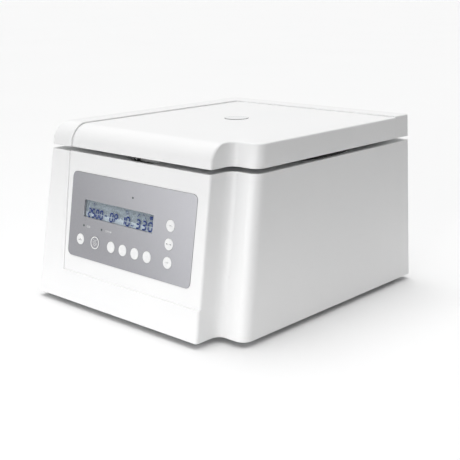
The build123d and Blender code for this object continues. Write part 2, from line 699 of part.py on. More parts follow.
with BuildPart() as control_board:
    with BuildSketch(front_plane.offset(BOARD_TOP)):
        with Locations((FASCIA_U, FASCIA_V)):
            Rectangle(FASCIA_W - 2 * BOARD_IN, FASCIA_H - 2 * BOARD_IN)
    extrude(amount=-BOARD_T)
control_board.part.label = "control_board"
export_step(control_board.part, "parts/control_board.step")

with BuildPart() as key_switches:
    with BuildSketch(front_plane.offset(BOARD_TOP)):
        with Locations(*key_places.values()):
            Rectangle(SWITCH_W, SWITCH_W)
    extrude(amount=SWITCH_H)
    with BuildSketch(front_plane.offset(BOARD_TOP + SWITCH_H)):
        with Locations(*key_places.values()):
            Circle(BUTTON_R)
    extrude(amount=BUTTON_H)
key_switches.part.label = "key_switches"
export_step(key_switches.part, "parts/key_switches.step")

with BuildPart() as status_lamps:
    with BuildSketch(fascia_plane):
        with Locations(*lamp_places):
            Circle(LAMP_R)
    extrude(amount=FASCIA_T + LAMP_PROUD)
    with BuildSketch(fascia_plane):
        with Locations(*lamp_places):
            Circle(LAMP_LEG_R)
    extrude(amount=BOARD_TOP - FASCIA_BACK)
status_lamps.part.label = "status_lamps"
export_step(status_lamps.part, "parts/status_lamps.step")

for name, place in key_places.items():
    with BuildPart() as key:
        with BuildSketch(fascia_plane):
            with Locations(place):
                Circle(key_radii[name])
        extrude(amount=FASCIA_T + KEY_PROUD)
        chamfer(key.faces().sort_by(Axis.Y)[0].edges(), KEY_PROUD * 3 / 4)
        with BuildSketch(fascia_plane):
            with Locations(place):
                Circle(key_radii[name] + KEY_EDGE)
        extrude(amount=-KEY_EDGE_T)
        with BuildSketch(fascia_plane.offset(-KEY_EDGE_T)):
            with Locations(place):
                Circle(STEM_R)
        extrude(amount=STEM_END - FASCIA_BACK + KEY_EDGE_T)
    key.part.label = name
    export_step(key.part, f"parts/{name}.step")

# ================================================================ chamber
with BuildPart() as chamber_bowl:
    with BuildSketch(turning_plane):
        with BuildLine():
            Polyline(
                (BOSS_HOLE_R, BOOT_TOP_Z),
                (BOSS_R, BOOT_TOP_Z),
                (BOSS_R + BOSS_H, BOWL_FLOOR_Z),
                (BOWL_R + BOWL_T, BOWL_FLOOR_Z),
                (BOWL_R + BOWL_T, DECK_Z),
                (FLANGE_R, DECK_Z),
                (FLANGE_R, DECK_Z + BOWL_T),
                (BOWL_R, DECK_Z + BOWL_T),
                (BOWL_R, BOWL_FLOOR_Z + BOWL_T),
                (BOSS_R + BOSS_H, BOWL_FLOOR_Z + BOWL_T),
                (BOSS_R, BOOT_TOP_Z + BOWL_T),
                (BOSS_HOLE_R, BOOT_TOP_Z + BOWL_T),
                close=True,
            )
        make_face()
        fillet(vertices().sort_by_distance((BOWL_R, BOWL_FLOOR_Z + BOWL_T))[0], BOWL_CORNER_R)
        fillet(vertices().sort_by_distance((BOWL_R + BOWL_T, BOWL_FLOOR_Z))[0], BOWL_CORNER_R + BOWL_T)
    revolve(axis=spin_axis)
chamber_bowl.part.label = "chamber_bowl"
export_step(chamber_bowl.part, "parts/chamber_bowl.step")

with BuildPart() as chamber_seal:
    with BuildSketch(turning_plane):
        with BuildLine():
            Polyline(
                (BOWL_R + SEAL_IN, DECK_Z + BOWL_T),
                (FLANGE_R + SCREW_GAP, DECK_Z + BOWL_T),
                (FLANGE_R + SCREW_GAP, DECK_Z),
                (SEAL_OUT_R, DECK_Z),
                (SEAL_OUT_R - SEAL_BEVEL, LID_Z - LID_OPEN_GAP),
                (BOWL_R + SEAL_IN + SEAL_BEVEL, LID_Z - LID_OPEN_GAP),
                close=True,
            )
        make_face()
    revolve(axis=spin_axis)
chamber_seal.part.label = "chamber_seal"
export_step(chamber_seal.part, "parts/chamber_seal.step")

# ================================================================ drive
with BuildPart() as motor:
    with BuildSketch(turning_plane):
        with BuildLine():
            Polyline(
                (0, MOTOR_Z),
                (MOTOR_R, MOTOR_Z),
                (MOTOR_R, MOTOR_Z + MOTOR_FLANGE_T),
                (MOTOR_R - BOOT_T, MOTOR_Z + MOTOR_FLANGE_T + BEARING_T),
                (MOTOR_R - BOOT_T, BOOT_Z - 2 * BOOT_T),
                (MOTOR_R - 3 * BOOT_T, BOOT_Z),
                (MOTOR_NECK_R, BOOT_Z),
                (MOTOR_NECK_R - BOOT_T, MOTOR_TOP_Z),
                (SHAFT_R + RUN_FIT, MOTOR_TOP_Z),
                (SHAFT_R + RUN_FIT, MOTOR_Z + MOTOR_FLANGE_T + BEARING_T),
                (0, MOTOR_Z + MOTOR_FLANGE_T + BEARING_T),
                close=True,
            )
        make_face()
    revolve(axis=spin_axis)
motor.part.label = "motor"
export_step(motor.part, "parts/motor.step")

with BuildPart() as motor_plate:
    with BuildSketch(Plane.XY.offset(MOTOR_PLATE_Z)):
        with Locations((0, AXIS_Y)):
            Circle(DAMPER_RING_R + DAMPER_R + SCREW_END / 2)
        with Locations(*damper_places):
            Circle(SCREW_R + SCREW_GAP, mode=Mode.SUBTRACT)
    extrude(amount=MOTOR_PLATE_T)
motor_plate.part.label = "motor_plate"
export_step(motor_plate.part, "parts/motor_plate.step")

# Waisted rubber blocks that the motor stands on.
with BuildPart() as motor_dampers:
    for x, y in damper_places:
        with BuildSketch(Plane(origin=(x, y, 0), x_dir=(1, 0, 0), z_dir=(0, -1, 0))):
            with BuildLine():
                Polyline(
                    (0, BASE_TOP_Z),
                    (DAMPER_R, BASE_TOP_Z),
                    (DAMPER_R * 3 / 4, BASE_TOP_Z + DAMPER_H / 2),
                    (DAMPER_R, MOTOR_PLATE_Z),
                    (0, MOTOR_PLATE_Z),
                    close=True,
                )
            make_face()
        revolve(axis=Axis((x, y, 0), (0, 0, 1)))
motor_dampers.part.label = "motor_dampers"
export_step(motor_dampers.part, "parts/motor_dampers.step")

with BuildPart() as motor_screws:
    with BuildSketch(Plane.XY.offset(MOTOR_Z)):
        with Locations(*damper_places):
            RegularPolygon(NUT_R, 6)
    extrude(amount=NUT_T)
motor_screws.part.label = "motor_screws"
export_step(motor_screws.part, "parts/motor_screws.step")

# Folded rubber boot between the motor and the bowl's floor.
boot_rise = (BOOT_TOP_Z - BOOT_Z) / 4
with BuildPart() as shaft_boot:
    with BuildSketch(turning_plane):
        with BuildLine():
            Polyline(
                (BOSS_HOLE_R, BOOT_Z),
                (BOSS_HOLE_R + BOOT_T + BOOT_FOLD, BOOT_Z),
                (BOSS_HOLE_R + BOOT_T, BOOT_Z + boot_rise),
                (BOSS_HOLE_R + BOOT_T + BOOT_FOLD, BOOT_Z + 2 * boot_rise),
                (BOSS_HOLE_R + BOOT_T, BOOT_Z + 3 * boot_rise),
                (BOSS_R - BOOT_T, BOOT_TOP_Z - BOWL_T),
                (BOSS_R - BOOT_T, BOOT_TOP_Z),
                (BOSS_HOLE_R, BOOT_TOP_Z),
                (BOSS_HOLE_R, BOOT_Z + 3 * boot_rise),
                (BOSS_HOLE_R + BOOT_FOLD, BOOT_Z + 2 * boot_rise),
                (BOSS_HOLE_R, BOOT_Z + boot_rise),
                close=True,
            )
        make_face()
    revolve(axis=spin_axis)
shaft_boot.part.label = "shaft_boot"
export_step(shaft_boot.part, "parts/shaft_boot.step")

# ================================================================ rotor
# Motor shaft: plain below, a cone and a thinner end that the hub sits on.
with BuildPart() as rotor_shaft:
    with BuildSketch(turning_plane):
        with BuildLine():
            Polyline(
                (0, MOTOR_Z + MOTOR_FLANGE_T + BEARING_T + 1),
                (SHAFT_R, MOTOR_Z + MOTOR_FLANGE_T + BEARING_T + 1),
                (SHAFT_R, HUB_Z + TAPER_H),
                (SHAFT_R - SHAFT_STEP, WEB_Z + BEAM_H / 2),
                (SHAFT_R - SHAFT_STEP, HUB_TOP_Z + KNOB_H - SCREW_END),
                (0, HUB_TOP_Z + KNOB_H - SCREW_END),
                close=True,
            )
        make_face()
    revolve(axis=spin_axis)
rotor_shaft.part.label = "rotor_shaft"
export_step(rotor_shaft.part, "parts/rotor_shaft.step")

# Yoke: turned hub, cross web and two beams that carry the swing pins, cut from one casting.
with BuildPart() as rotor_yoke:
    with BuildSketch(turning_plane):
        with BuildLine():
            Polyline(
                (0, HUB_Z),
                (2 * SHAFT_R, HUB_Z),
                (2 * SHAFT_R + SHAFT_STEP, HUB_Z + SHAFT_STEP),
                (HUB_R, WEB_Z),
                (HUB_R, HUB_TOP_Z),
                (0, HUB_TOP_Z),
                close=True,
            )
        make_face()
    revolve(axis=spin_axis)
    with BuildSketch(Plane.XY.offset(WEB_Z)):
        with Locations((0, AXIS_Y)):
            Rectangle(WEB_W, 2 * (BEAM_Y + BEAM_T))
            with Locations((0, BEAM_Y + BEAM_T / 2), (0, -BEAM_Y - BEAM_T / 2)):
                Rectangle(2 * (SWING_R + BEAM_END), BEAM_T)
        for across in (-WEB_W / 2, WEB_W / 2):
            for along in (-BEAM_Y, BEAM_Y):
                fillet(vertices().sort_by_distance((across, AXIS_Y + along))[0], 2 * PIN_R)
    extrude(amount=BEAM_H)
    with BuildSketch(turning_plane):
        with BuildLine():
            Polyline(
                (0, HUB_Z),
                (SHAFT_R, HUB_Z),
                (SHAFT_R, HUB_Z + TAPER_H),
                (SHAFT_R - SHAFT_STEP, WEB_Z + BEAM_H / 2),
                (SHAFT_R - SHAFT_STEP, HUB_TOP_Z),
                (0, HUB_TOP_Z),
                close=True,
            )
        make_face()
    revolve(axis=spin_axis, mode=Mode.SUBTRACT)
    # lightening pockets in the web
    pocket_l = BEAM_Y - HUB_R - 2 * BEAM_T
    with BuildSketch(Plane.XY.offset(WEB_Z + BEAM_H)):
        with Locations((0, AXIS_Y + (HUB_R + BEAM_Y) / 2), (0, AXIS_Y - (HUB_R + BEAM_Y) / 2)):
            RectangleRounded(WEB_POCKET_W, pocket_l, WEB_POCKET_W / 4)
    extrude(amount=-BEAM_H * 3 / 4, mode=Mode.SUBTRACT)
rotor_yoke.part.label = "rotor_yoke"
export_step(rotor_yoke.part, "parts/rotor_yoke.step")

with BuildPart() as swing_pins:
    for side in (-1, 1):
        pin_plane = Plane(origin=(0, AXIS_Y + side * BEAM_Y, 0), x_dir=(1, 0, 0), z_dir=(0, -side, 0))
        with BuildSketch(pin_plane):
            with Locations((-SWING_R, side * SWING_Z), (SWING_R, side * SWING_Z)):
                Circle(PIN_R)
        extrude(amount=BEAM_GAP + EAR_T + PIN_PROUD)
swing_pins.part.label = "swing_pins"
export_step(swing_pins.part, "parts/swing_pins.step")

# Fluted knob that holds the rotor down on its shaft.
with BuildPart() as rotor_knob:
    with BuildSketch(Plane.XY.offset(HUB_TOP_Z)):
        with Locations((0, AXIS_Y)):
            Circle(KNOB_R)
            with PolarLocations(KNOB_R, KNOB_GRIPS):
                Circle(KNOB_GRIP_R, mode=Mode.SUBTRACT)
            Circle(SHAFT_R - SHAFT_STEP, mode=Mode.SUBTRACT)
    extrude(amount=KNOB_H)
    with BuildSketch(Plane.XY.offset(HUB_TOP_Z + KNOB_H)):
        with Locations((0, AXIS_Y)):
            Circle(KNOB_R - KNOB_CROWN_IN)
    extrude(amount=KNOB_GRIP_R, taper=KNOB_TAPER)
rotor_knob.part.label = "rotor_knob"
export_step(rotor_knob.part, "parts/rotor_knob.step")

# ================================================================ plate carriers
ear_shoulder = -SWING_DROP + CARRIER_DEEP
for side, word in ((-1, "left"), (1, "right")):
    tray_place = (side * SWING_R, AXIS_Y)
    with BuildPart() as carrier:
        with BuildSketch(Plane.XY.offset(TRAY_Z)):
            with Locations(tray_place):
                RectangleRounded(TRAY_X, TRAY_Y, CARRIER_R)
        extrude(amount=CARRIER_DEEP)
        with BuildSketch(Plane.XY.offset(TRAY_Z + CARRIER_DEEP)):
            with Locations(tray_place):
                RectangleRounded(CARRIER_Y, CARRIER_X, CARRIER_R - CARRIER_WALL)
        extrude(amount=-CARRIER_DEEP + CARRIER_WALL, mode=Mode.SUBTRACT)
        with BuildSketch(Plane.XY.offset(TRAY_Z)):
            with Locations(tray_place):
                RectangleRounded(CARRIER_Y - 2 * CARRIER_FRAME, CARRIER_X - 2 * CARRIER_FRAME, CARRIER_R)
        extrude(amount=CARRIER_WALL, mode=Mode.SUBTRACT)
        # ears that hang on the swing pins
        for end in (-1, 1):
            ear_plane = Plane(
                origin=(side * SWING_R, AXIS_Y + end * (EAR_Y + EAR_T / 2), SWING_Z),
                x_dir=(1, 0, 0),
                z_dir=(0, -1, 0),
            )
            with BuildSketch(ear_plane):
                with BuildLine():
                    FilletPolyline(
                        (-EAR_W / 2, -SWING_DROP),
                        (EAR_W / 2, -SWING_DROP),
                        (EAR_W / 2, ear_shoulder),
                        (EAR_TOP_R, 0),
                        (EAR_TOP_R, EAR_TOP_R),
                        (-EAR_TOP_R, EAR_TOP_R),
                        (-EAR_TOP_R, 0),
                        (-EAR_W / 2, ear_shoulder),
                        radius=[
                            EAR_FOOT_R,
                            EAR_FOOT_R,
                            EAR_SHOULDER_R,
                            EAR_NECK_R,
                            EAR_TOP_R / 2,
                            EAR_TOP_R / 2,
                            EAR_NECK_R,
                            EAR_SHOULDER_R,
                        ],
                        close=True,
                    )
                make_face()
                Circle(PIN_R + RUN_FIT, mode=Mode.SUBTRACT)
            extrude(amount=EAR_T / 2, both=True)
    carrier.part.label = f"carrier_{word}"
    export_step(carrier.part, f"parts/carrier_{word}.step")

    with BuildPart() as carrier_pad:
        with BuildSketch(Plane.XY.offset(TRAY_Z + CARRIER_WALL)):
            with Locations(tray_place):
                RectangleRounded(CARRIER_Y - 2 * PAD_IN, CARRIER_X - 2 * PAD_IN, CARRIER_R)
        extrude(amount=PAD_T)
    carrier_pad.part.label = f"carrier_pad_{word}"
    export_step(carrier_pad.part, f"parts/carrier_pad_{word}.step")

# ================================================================ lid
lid_h = BODY_H + LID_GAP
round_turns = (0, 24, 46, 65, 74, 82, 90)
round_shares = [sin(radians(turn)) for turn in round_turns]


def lid_section(rise, thickness, step, wall=0.0):
    """Plan of the lid at a rise above its edge; step 1 is the recessed form, 0 the rim's."""
    insets = lid_insets(rise, thickness, step)
    casing_plan(lid_h + rise, **{name: inset + wall for name, inset in insets.items()})


# Outer form at the rim's height, kept only where the L-shaped rim stands.
rim_t = LID_T + RIM_H
with BuildPart() as lid_rim:
    with BuildSketch(Plane.XY.offset(LID_Z)):
        lid_section(0, rim_t, 0)
    with BuildSketch(Plane.XY.offset(LID_Z + STRAIGHT_H)):
        lid_section(STRAIGHT_H, rim_t, 0)
    loft(ruled=True)
    for share in round_shares:
        rise = STRAIGHT_H + (rim_t - STRAIGHT_H) * share
        with BuildSketch(Plane.XY.offset(LID_Z + rise)):
            lid_section(rise, rim_t, 0)
    loft()
    with BuildSketch(Plane.XZ.offset(RIM_BACK_W - DEPTH / 2)):
        with BuildLine():
            Polyline(
                (-WIDTH / 2 + RIM_LOW_W, LID_Z - WALL),
                (-WIDTH / 2 + RIM_LEFT_W, LID_TOP_Z),
                (-WIDTH / 2 + RIM_LEFT_W, RIM_TOP_Z + WALL),
                (WIDTH, RIM_TOP_Z + WALL),
                (WIDTH, LID_Z - WALL),
                close=True,
            )
        make_face()
    extrude(amount=DEPTH, mode=Mode.SUBTRACT)

# Cutter for the seam at the foot of the left bar: a thin blade, less the lid's inner part.
with BuildPart() as rim_seam:
    with BuildSketch(Plane.XZ.offset(RIM_BACK_W - DEPTH / 2)):
        with BuildLine():
            Polyline(
                (-WIDTH / 2 + RIM_LOW_W, LID_Z - WALL),
                (-WIDTH / 2 + RIM_LEFT_W, LID_TOP_Z),
                (-WIDTH / 2 + RIM_LEFT_W, RIM_TOP_Z),
                (-WIDTH / 2 + RIM_LEFT_W + RIM_SEAM_W, RIM_TOP_Z),
                (-WIDTH / 2 + RIM_LEFT_W + RIM_SEAM_W, LID_TOP_Z),
                (-WIDTH / 2 + RIM_LOW_W + RIM_SEAM_W, LID_Z - WALL),
                close=True,
            )
        make_face()
    extrude(amount=DEPTH)
    with BuildSketch(Plane.XY.offset(LID_Z - WALL)):
        lid_section(0, LID_T, 1, wall=RIM_SEAM_D)
    with BuildSketch(Plane.XY.offset(LID_Z + STRAIGHT_H)):
        lid_section(STRAIGHT_H, LID_T, 1, wall=RIM_SEAM_D)
    loft(ruled=True, mode=Mode.SUBTRACT)
    for share in round_shares:
        rise = STRAIGHT_H + (LID_T - STRAIGHT_H) * share
        with BuildSketch(Plane.XY.offset(LID_Z + rise - RIM_SEAM_D * share)):
            lid_section(rise, LID_T, 1, wall=RIM_SEAM_D)
    loft(mode=Mode.SUBTRACT)

# The lid is a moulded shell: recessed form and rim together, hollow below.
with BuildPart() as lid_shell:
    with BuildSketch(Plane.XY.offset(LID_Z)):
        lid_section(0, LID_T, 1)
    with BuildSketch(Plane.XY.offset(LID_Z + STRAIGHT_H)):
        lid_section(STRAIGHT_H, LID_T, 1)
    loft(ruled=True)
    for share in round_shares:
        rise = STRAIGHT_H + (LID_T - STRAIGHT_H) * share
        with BuildSketch(Plane.XY.offset(LID_Z + rise)):
            lid_section(rise, LID_T, 1)
    loft()
    add(lid_rim.part)
    add(rim_seam.part, mode=Mode.SUBTRACT)
    # hollow, in three drafted stages below the rounding
    for rise in (0, STRAIGHT_H, LID_T * HOLLOW_SHARE, LID_T - WALL):
        with BuildSketch(Plane.XY.offset(LID_Z + rise)):
            lid_section(rise, LID_T, 1, wall=WALL)
    loft(ruled=True, mode=Mode.SUBTRACT)
    # collar that carries the sight port, and ribs that stiffen the top
    with BuildSketch(Plane.XY.offset(LID_Z + PORT_SEAT)):
        with Locations((0, AXIS_Y)):
            Circle(PORT_R + PORT_WALL)
            Rectangle(2 * BOWL_R, RIB_T)
            Rectangle(RIB_T, 2 * BOWL_R)
    extrude(amount=LID_T - PORT_SEAT - WALL / 2)
    with BuildSketch(Plane.XY.offset(LID_Z + LID_POST_Z)):
        with Locations(*lid_post_places):
            Circle(BOSS_POST_R)
    extrude(amount=LID_T - WALL * 5 / 6 - LID_POST_Z)
    with BuildSketch(Plane.XY.offset(LID_Z)):
        with Locations(*lid_post_places):
            Circle(SCREW_R)
    extrude(amount=LID_SCREW_L + SCREW_END, mode=Mode.SUBTRACT)
    with BuildSketch(Plane.XY.offset(LID_Z)):
        with Locations((0, AXIS_Y)):
            Circle(PORT_R - PORT_LEDGE)
    extrude(amount=LID_T + RIM_H, mode=Mode.SUBTRACT)
    with BuildSketch(Plane.XY.offset(LID_TOP_Z - PORT_RECESS)):
        with Locations((0, AXIS_Y)):
            Circle(PORT_R)
    extrude(amount=2 * PORT_RECESS, mode=Mode.SUBTRACT)
    # notches for the hinge knuckles
    with BuildSketch(*notch_planes):
        with Locations((HINGE_Y, HINGE_Z)):
            Circle(KNUCKLE_R + KNUCKLE_GAP)
    extrude(amount=LEAF_W + 2 * KNUCKLE_GAP, mode=Mode.SUBTRACT)
lid_shell.part.label = "lid_shell"
export_step(lid_shell.part, "parts/lid_shell.step")

# Pressed steel liner: flat rim that meets the seal, dished middle over the rotor.
with BuildPart() as lid_liner:
    with BuildSketch(Plane.XY.offset(LID_Z)):
        lid_section(0, 0, 1, wall=WALL + LINER_GAP)
        with Locations((0, AXIS_Y)):
            Circle(DISH_R, mode=Mode.SUBTRACT)
        with Locations(*lid_post_places):
            Circle(SCREW_R + SCREW_GAP, mode=Mode.SUBTRACT)
    extrude(amount=LINER_T)
    with BuildSketch(turning_plane):
        with BuildLine():
            Polyline(
                (DISH_R, LID_Z),
                (DISH_R, LID_Z + LINER_T),
                (DISH_R - DISH_H, LID_Z + DISH_H + LINER_T),
                (PORT_R - PORT_LEDGE, LID_Z + DISH_H + LINER_T),
                (PORT_R - PORT_LEDGE, LID_Z + DISH_H),
                (DISH_R - DISH_H, LID_Z + DISH_H),
                close=True,
            )
        make_face()
    revolve(axis=spin_axis)
    with BuildSketch(*notch_planes):
        with Locations((HINGE_Y, HINGE_Z)):
            Circle(KNUCKLE_R + KNUCKLE_GAP)
    extrude(amount=LEAF_W + 2 * KNUCKLE_GAP, mode=Mode.SUBTRACT)
lid_liner.part.label = "lid_liner"
export_step(lid_liner.part, "parts/lid_liner.step")

with BuildPart() as sight_window:
    with BuildSketch(Plane.XY.offset(LID_TOP_Z - PORT_RECESS)):
        with Locations((0, AXIS_Y)):
            Circle(PORT_R - PORT_GAP)
    extrude(amount=PORT_RECESS - PORT_GAP)
sight_window.part.label = "sight_window"
export_step(sight_window.part, "parts/sight_window.step")

# Flanged tube that lines the sight port, from the liner's dish up to the window.
sleeve_r = PORT_R - PORT_LEDGE - PORT_GAP
with BuildPart() as sight_sleeve:
    with BuildSketch(turning_plane):
        with BuildLine():
            Polyline(
                (sleeve_r - SLEEVE_T, LID_Z + DISH_H - LINER_T),
                (PORT_R + PORT_GAP, LID_Z + DISH_H - LINER_T),
                (PORT_R + PORT_GAP, LID_Z + DISH_H),
                (sleeve_r, LID_Z + DISH_H),
                (sleeve_r, LID_TOP_Z - PORT_RECESS),
                (sleeve_r - SLEEVE_T, LID_TOP_Z - PORT_RECESS),
                close=True,
            )
        make_face()
    revolve(axis=spin_axis)
sight_sleeve.part.label = "sight_sleeve"
export_step(sight_sleeve.part, "parts/sight_sleeve.step")

with BuildPart() as lid_screws:
    with BuildSketch(Plane.XY.offset(LID_Z - HEAD_T)):
        with Locations(*lid_post_places):
            Circle(HEAD_R)
    extrude(amount=HEAD_T)
    with BuildSketch(Plane.XY.offset(LID_Z)):
        with Locations(*lid_post_places):
            Circle(SCREW_R)
    extrude(amount=LID_SCREW_L)
    with BuildSketch(Plane.XY.offset(LID_Z - HEAD_T)):
        with Locations(*lid_post_places):
            Rectangle(CROSS_L, CROSS_W)
            Rectangle(CROSS_W, CROSS_L)
    extrude(amount=CROSS_D, mode=Mode.SUBTRACT)
lid_screws.part.label = "lid_screws"
export_step(lid_screws.part, "parts/lid_screws.step")

# U-shaped wire striker that drops through the deck slot into the latch.
with BuildPart() as lid_striker:
    with BuildLine():
        FilletPolyline(
            (STRIKER_X, SLOT_Y - STRIKER_W / 2, LID_Z),
            (STRIKER_X, SLOT_Y - STRIKER_W / 2, LID_Z - STRIKER_DROP),
            (STRIKER_X, SLOT_Y + STRIKER_W / 2, LID_Z - STRIKER_DROP),
            (STRIKER_X, SLOT_Y + STRIKER_W / 2, LID_Z),
            radius=STRIKER_R * 3 / 2,
        )
    leg_top = Plane(origin=(STRIKER_X, SLOT_Y - STRIKER_W / 2, LID_Z), x_dir=(1, 0, 0), z_dir=(0, 0, -1))
    with BuildSketch(leg_top):
        Circle(STRIKER_R)
    sweep()
    with BuildSketch(Plane.XY.offset(LID_Z)):
        with Locations((STRIKER_X, SLOT_Y)):
            RectangleRounded(STRIKER_PLATE_L, STRIKER_PLATE_W, STRIKER_PLATE_T)
    extrude(amount=-STRIKER_PLATE_T)
lid_striker.part.label = "lid_striker"
export_step(lid_striker.part, "parts/lid_striker.step")

# ================================================================ hinges
# Two butt hinges lie in the gap below the lid; each has a deck leaf and a lid leaf.
leaf_end_y = HINGE_Y - LEAF_L
deck_leaf_l = LEAF_L - HINGE_PIN_R
lid_leaf_l = LEAF_L - KNUCKLE_R - KNUCKLE_GAP
for side, word in ((-1, "left"), (1, "right")):
    middle = side * HINGE_X
    with BuildPart() as deck_leaf:
        with BuildSketch(Plane.XY.offset(DECK_Z)):
            with Locations((middle, leaf_end_y + deck_leaf_l / 2)):
                Rectangle(LEAF_W, deck_leaf_l)
            with Locations(*leaf_screw_places):
                Circle(LEAF_SCREW_R + SCREW_GAP, mode=Mode.SUBTRACT)
        extrude(amount=LEAF_T)
        with BuildSketch(side_plane.offset(middle - LEAF_W / 2)):
            with Locations((HINGE_Y, HINGE_Z)):
                Circle(KNUCKLE_R)
        extrude(amount=LEAF_W)
        with BuildSketch(side_plane.offset(middle - LID_KNUCKLE_W / 2 - HINGE_GAP)):
            with Locations((HINGE_Y, HINGE_Z)):
                Circle(KNUCKLE_R + KNUCKLE_GAP)
        extrude(amount=LID_KNUCKLE_W + 2 * HINGE_GAP, mode=Mode.SUBTRACT)
        with BuildSketch(side_plane.offset(middle - LEAF_W / 2)):
            with Locations((HINGE_Y, HINGE_Z)):
                Circle(HINGE_PIN_R)
        extrude(amount=LEAF_W, mode=Mode.SUBTRACT)
    deck_leaf.part.label = f"deck_leaf_{word}"
    export_step(deck_leaf.part, f"parts/deck_leaf_{word}.step")

    with BuildPart() as lid_leaf:
        with BuildSketch(Plane.XY.offset(LID_Z - LEAF_T)):
            with Locations((middle, leaf_end_y + lid_leaf_l / 2)):
                Rectangle(LEAF_W, lid_leaf_l)
            with Locations((middle, HINGE_Y - KNUCKLE_R)):
                Rectangle(LID_KNUCKLE_W, 2 * KNUCKLE_R - HINGE_PIN_R)
        extrude(amount=LEAF_T)
        with BuildSketch(side_plane.offset(middle - LID_KNUCKLE_W / 2)):
            with Locations((HINGE_Y, HINGE_Z)):
                Circle(KNUCKLE_R)
        extrude(amount=LID_KNUCKLE_W)
        with BuildSketch(side_plane.offset(middle - LEAF_W / 2)):
            with Locations((HINGE_Y, HINGE_Z)):
                Circle(HINGE_PIN_R + RUN_FIT)
        extrude(amount=LEAF_W, mode=Mode.SUBTRACT)
    lid_leaf.part.label = f"lid_leaf_{word}"
    export_step(lid_leaf.part, f"parts/lid_leaf_{word}.step")

with BuildPart() as hinge_pins:
    with BuildSketch(*[side_plane.offset(side * HINGE_X - LEAF_W / 2 - PIN_PROUD) for side in (-1, 1)]):
        with Locations((HINGE_Y, HINGE_Z)):
            Circle(HINGE_PIN_R)
    extrude(amount=LEAF_W + 2 * PIN_PROUD)
hinge_pins.part.label = "hinge_pins"
export_step(hinge_pins.part, "parts/hinge_pins.step")

with BuildPart() as leaf_screws:
    with BuildSketch(Plane.XY.offset(DECK_Z + LEAF_T - LEAF_SCREW_SINK)):
        with Locations(*leaf_screw_places):
            Circle(LEAF_SCREW_R)
    extrude(amount=-LEAF_T - WALL - LEAF_NUT_L)
    with BuildSketch(Plane.XY.offset(DECK_Z + LEAF_T - LEAF_SCREW_SINK)):
        with Locations(*leaf_screw_places):
            Rectangle(LEAF_CROSS_L, LEAF_CROSS_W)
            Rectangle(LEAF_CROSS_W, LEAF_CROSS_L)
    extrude(amount=-CROSS_D, mode=Mode.SUBTRACT)
leaf_screws.part.label = "leaf_screws"
export_step(leaf_screws.part, "parts/leaf_screws.step")

# ================================================================ latch under the deck slot
with BuildPart() as latch_pocket:
    with BuildSketch(Plane.XY.offset(POCKET_Z)):
        with Locations((0, SLOT_Y)):
            Rectangle(2 * POCKET_X, SLOT_D + 2 * POCKET_WALL)
    extrude(amount=-POCKET_DEEP)
    with BuildSketch(Plane.XY.offset(POCKET_Z)):
        with Locations((0, SLOT_Y)):
            Rectangle(SLOT_W, SLOT_D)
    extrude(amount=-POCKET_DEEP + POCKET_WALL, mode=Mode.SUBTRACT)
    with BuildSketch(side_plane.offset(-POCKET_X - POCKET_WALL / 2)):
        with Locations((SLOT_Y, BOLT_Z)):
            Circle(BOLT_R + RUN_FIT)
    extrude(amount=2 * POCKET_WALL, mode=Mode.SUBTRACT)
latch_pocket.part.label = "latch_pocket"
export_step(latch_pocket.part, "parts/latch_pocket.step")

# Bolt that slides through the striker's loop, and the solenoid that drives it.
with BuildPart() as latch_bolt:
    with BuildSketch(side_plane.offset(-SLOT_W / 2 + BOLT_REST - BOLT_L)):
        with Locations((SLOT_Y, BOLT_Z)):
            Circle(BOLT_R)
    extrude(amount=BOLT_L)
    chamfer(latch_bolt.faces().sort_by(Axis.X)[-1].edges(), BOLT_R / 3)
latch_bolt.part.label = "latch_bolt"
export_step(latch_bolt.part, "parts/latch_bolt.step")

with BuildPart() as latch_solenoid:
    with BuildSketch(side_plane.offset(-POCKET_X - SOLENOID_L)):
        with Locations((SLOT_Y, BOLT_Z)):
            Rectangle(SOLENOID_W, SOLENOID_W)
    extrude(amount=SOLENOID_L)
    with BuildSketch(side_plane.offset(-POCKET_X)):
        with Locations((SLOT_Y, BOLT_Z)):
            Circle(BOLT_R + RUN_FIT)
    extrude(amount=-BOLT_L, mode=Mode.SUBTRACT)
latch_solenoid.part.label = "latch_solenoid"
export_step(latch_solenoid.part, "parts/latch_solenoid.step")

# ================================================================ back wall fittings
# Mains inlet: flanged moulding with an open socket; the pins are separate.
with BuildPart() as power_inlet:
    with BuildSketch(fitting_plane):
        with Locations((INLET_U, FITTING_V)):
            RectangleRounded(INLET_W + 2 * INLET_FLANGE_W, INLET_H + 2 * INLET_FLANGE_H, INLET_FLANGE_R)
        with Locations(*inlet_screw_places):
            Circle(SCREW_R + SCREW_GAP, mode=Mode.SUBTRACT)
    extrude(amount=INLET_FLANGE_T)
    with BuildSketch(fitting_plane):
        with Locations((INLET_U, FITTING_V)):
            Rectangle(INLET_W - 2 * INLET_FIT, INLET_H - 2 * INLET_FIT)
    extrude(amount=-INLET_DEEP)
    with BuildSketch(fitting_plane.offset(INLET_FLANGE_T)):
        with Locations((INLET_U, FITTING_V)):
            Rectangle(INLET_W - 2 * (INLET_FIT + INLET_WALL), INLET_H - 2 * (INLET_FIT + INLET_WALL))
        chamfer(vertices().group_by(Axis.Z)[-1], PIN_H)
    extrude(amount=-INLET_DEEP, mode=Mode.SUBTRACT)
power_inlet.part.label = "power_inlet"
export_step(power_inlet.part, "parts/power_inlet.step")

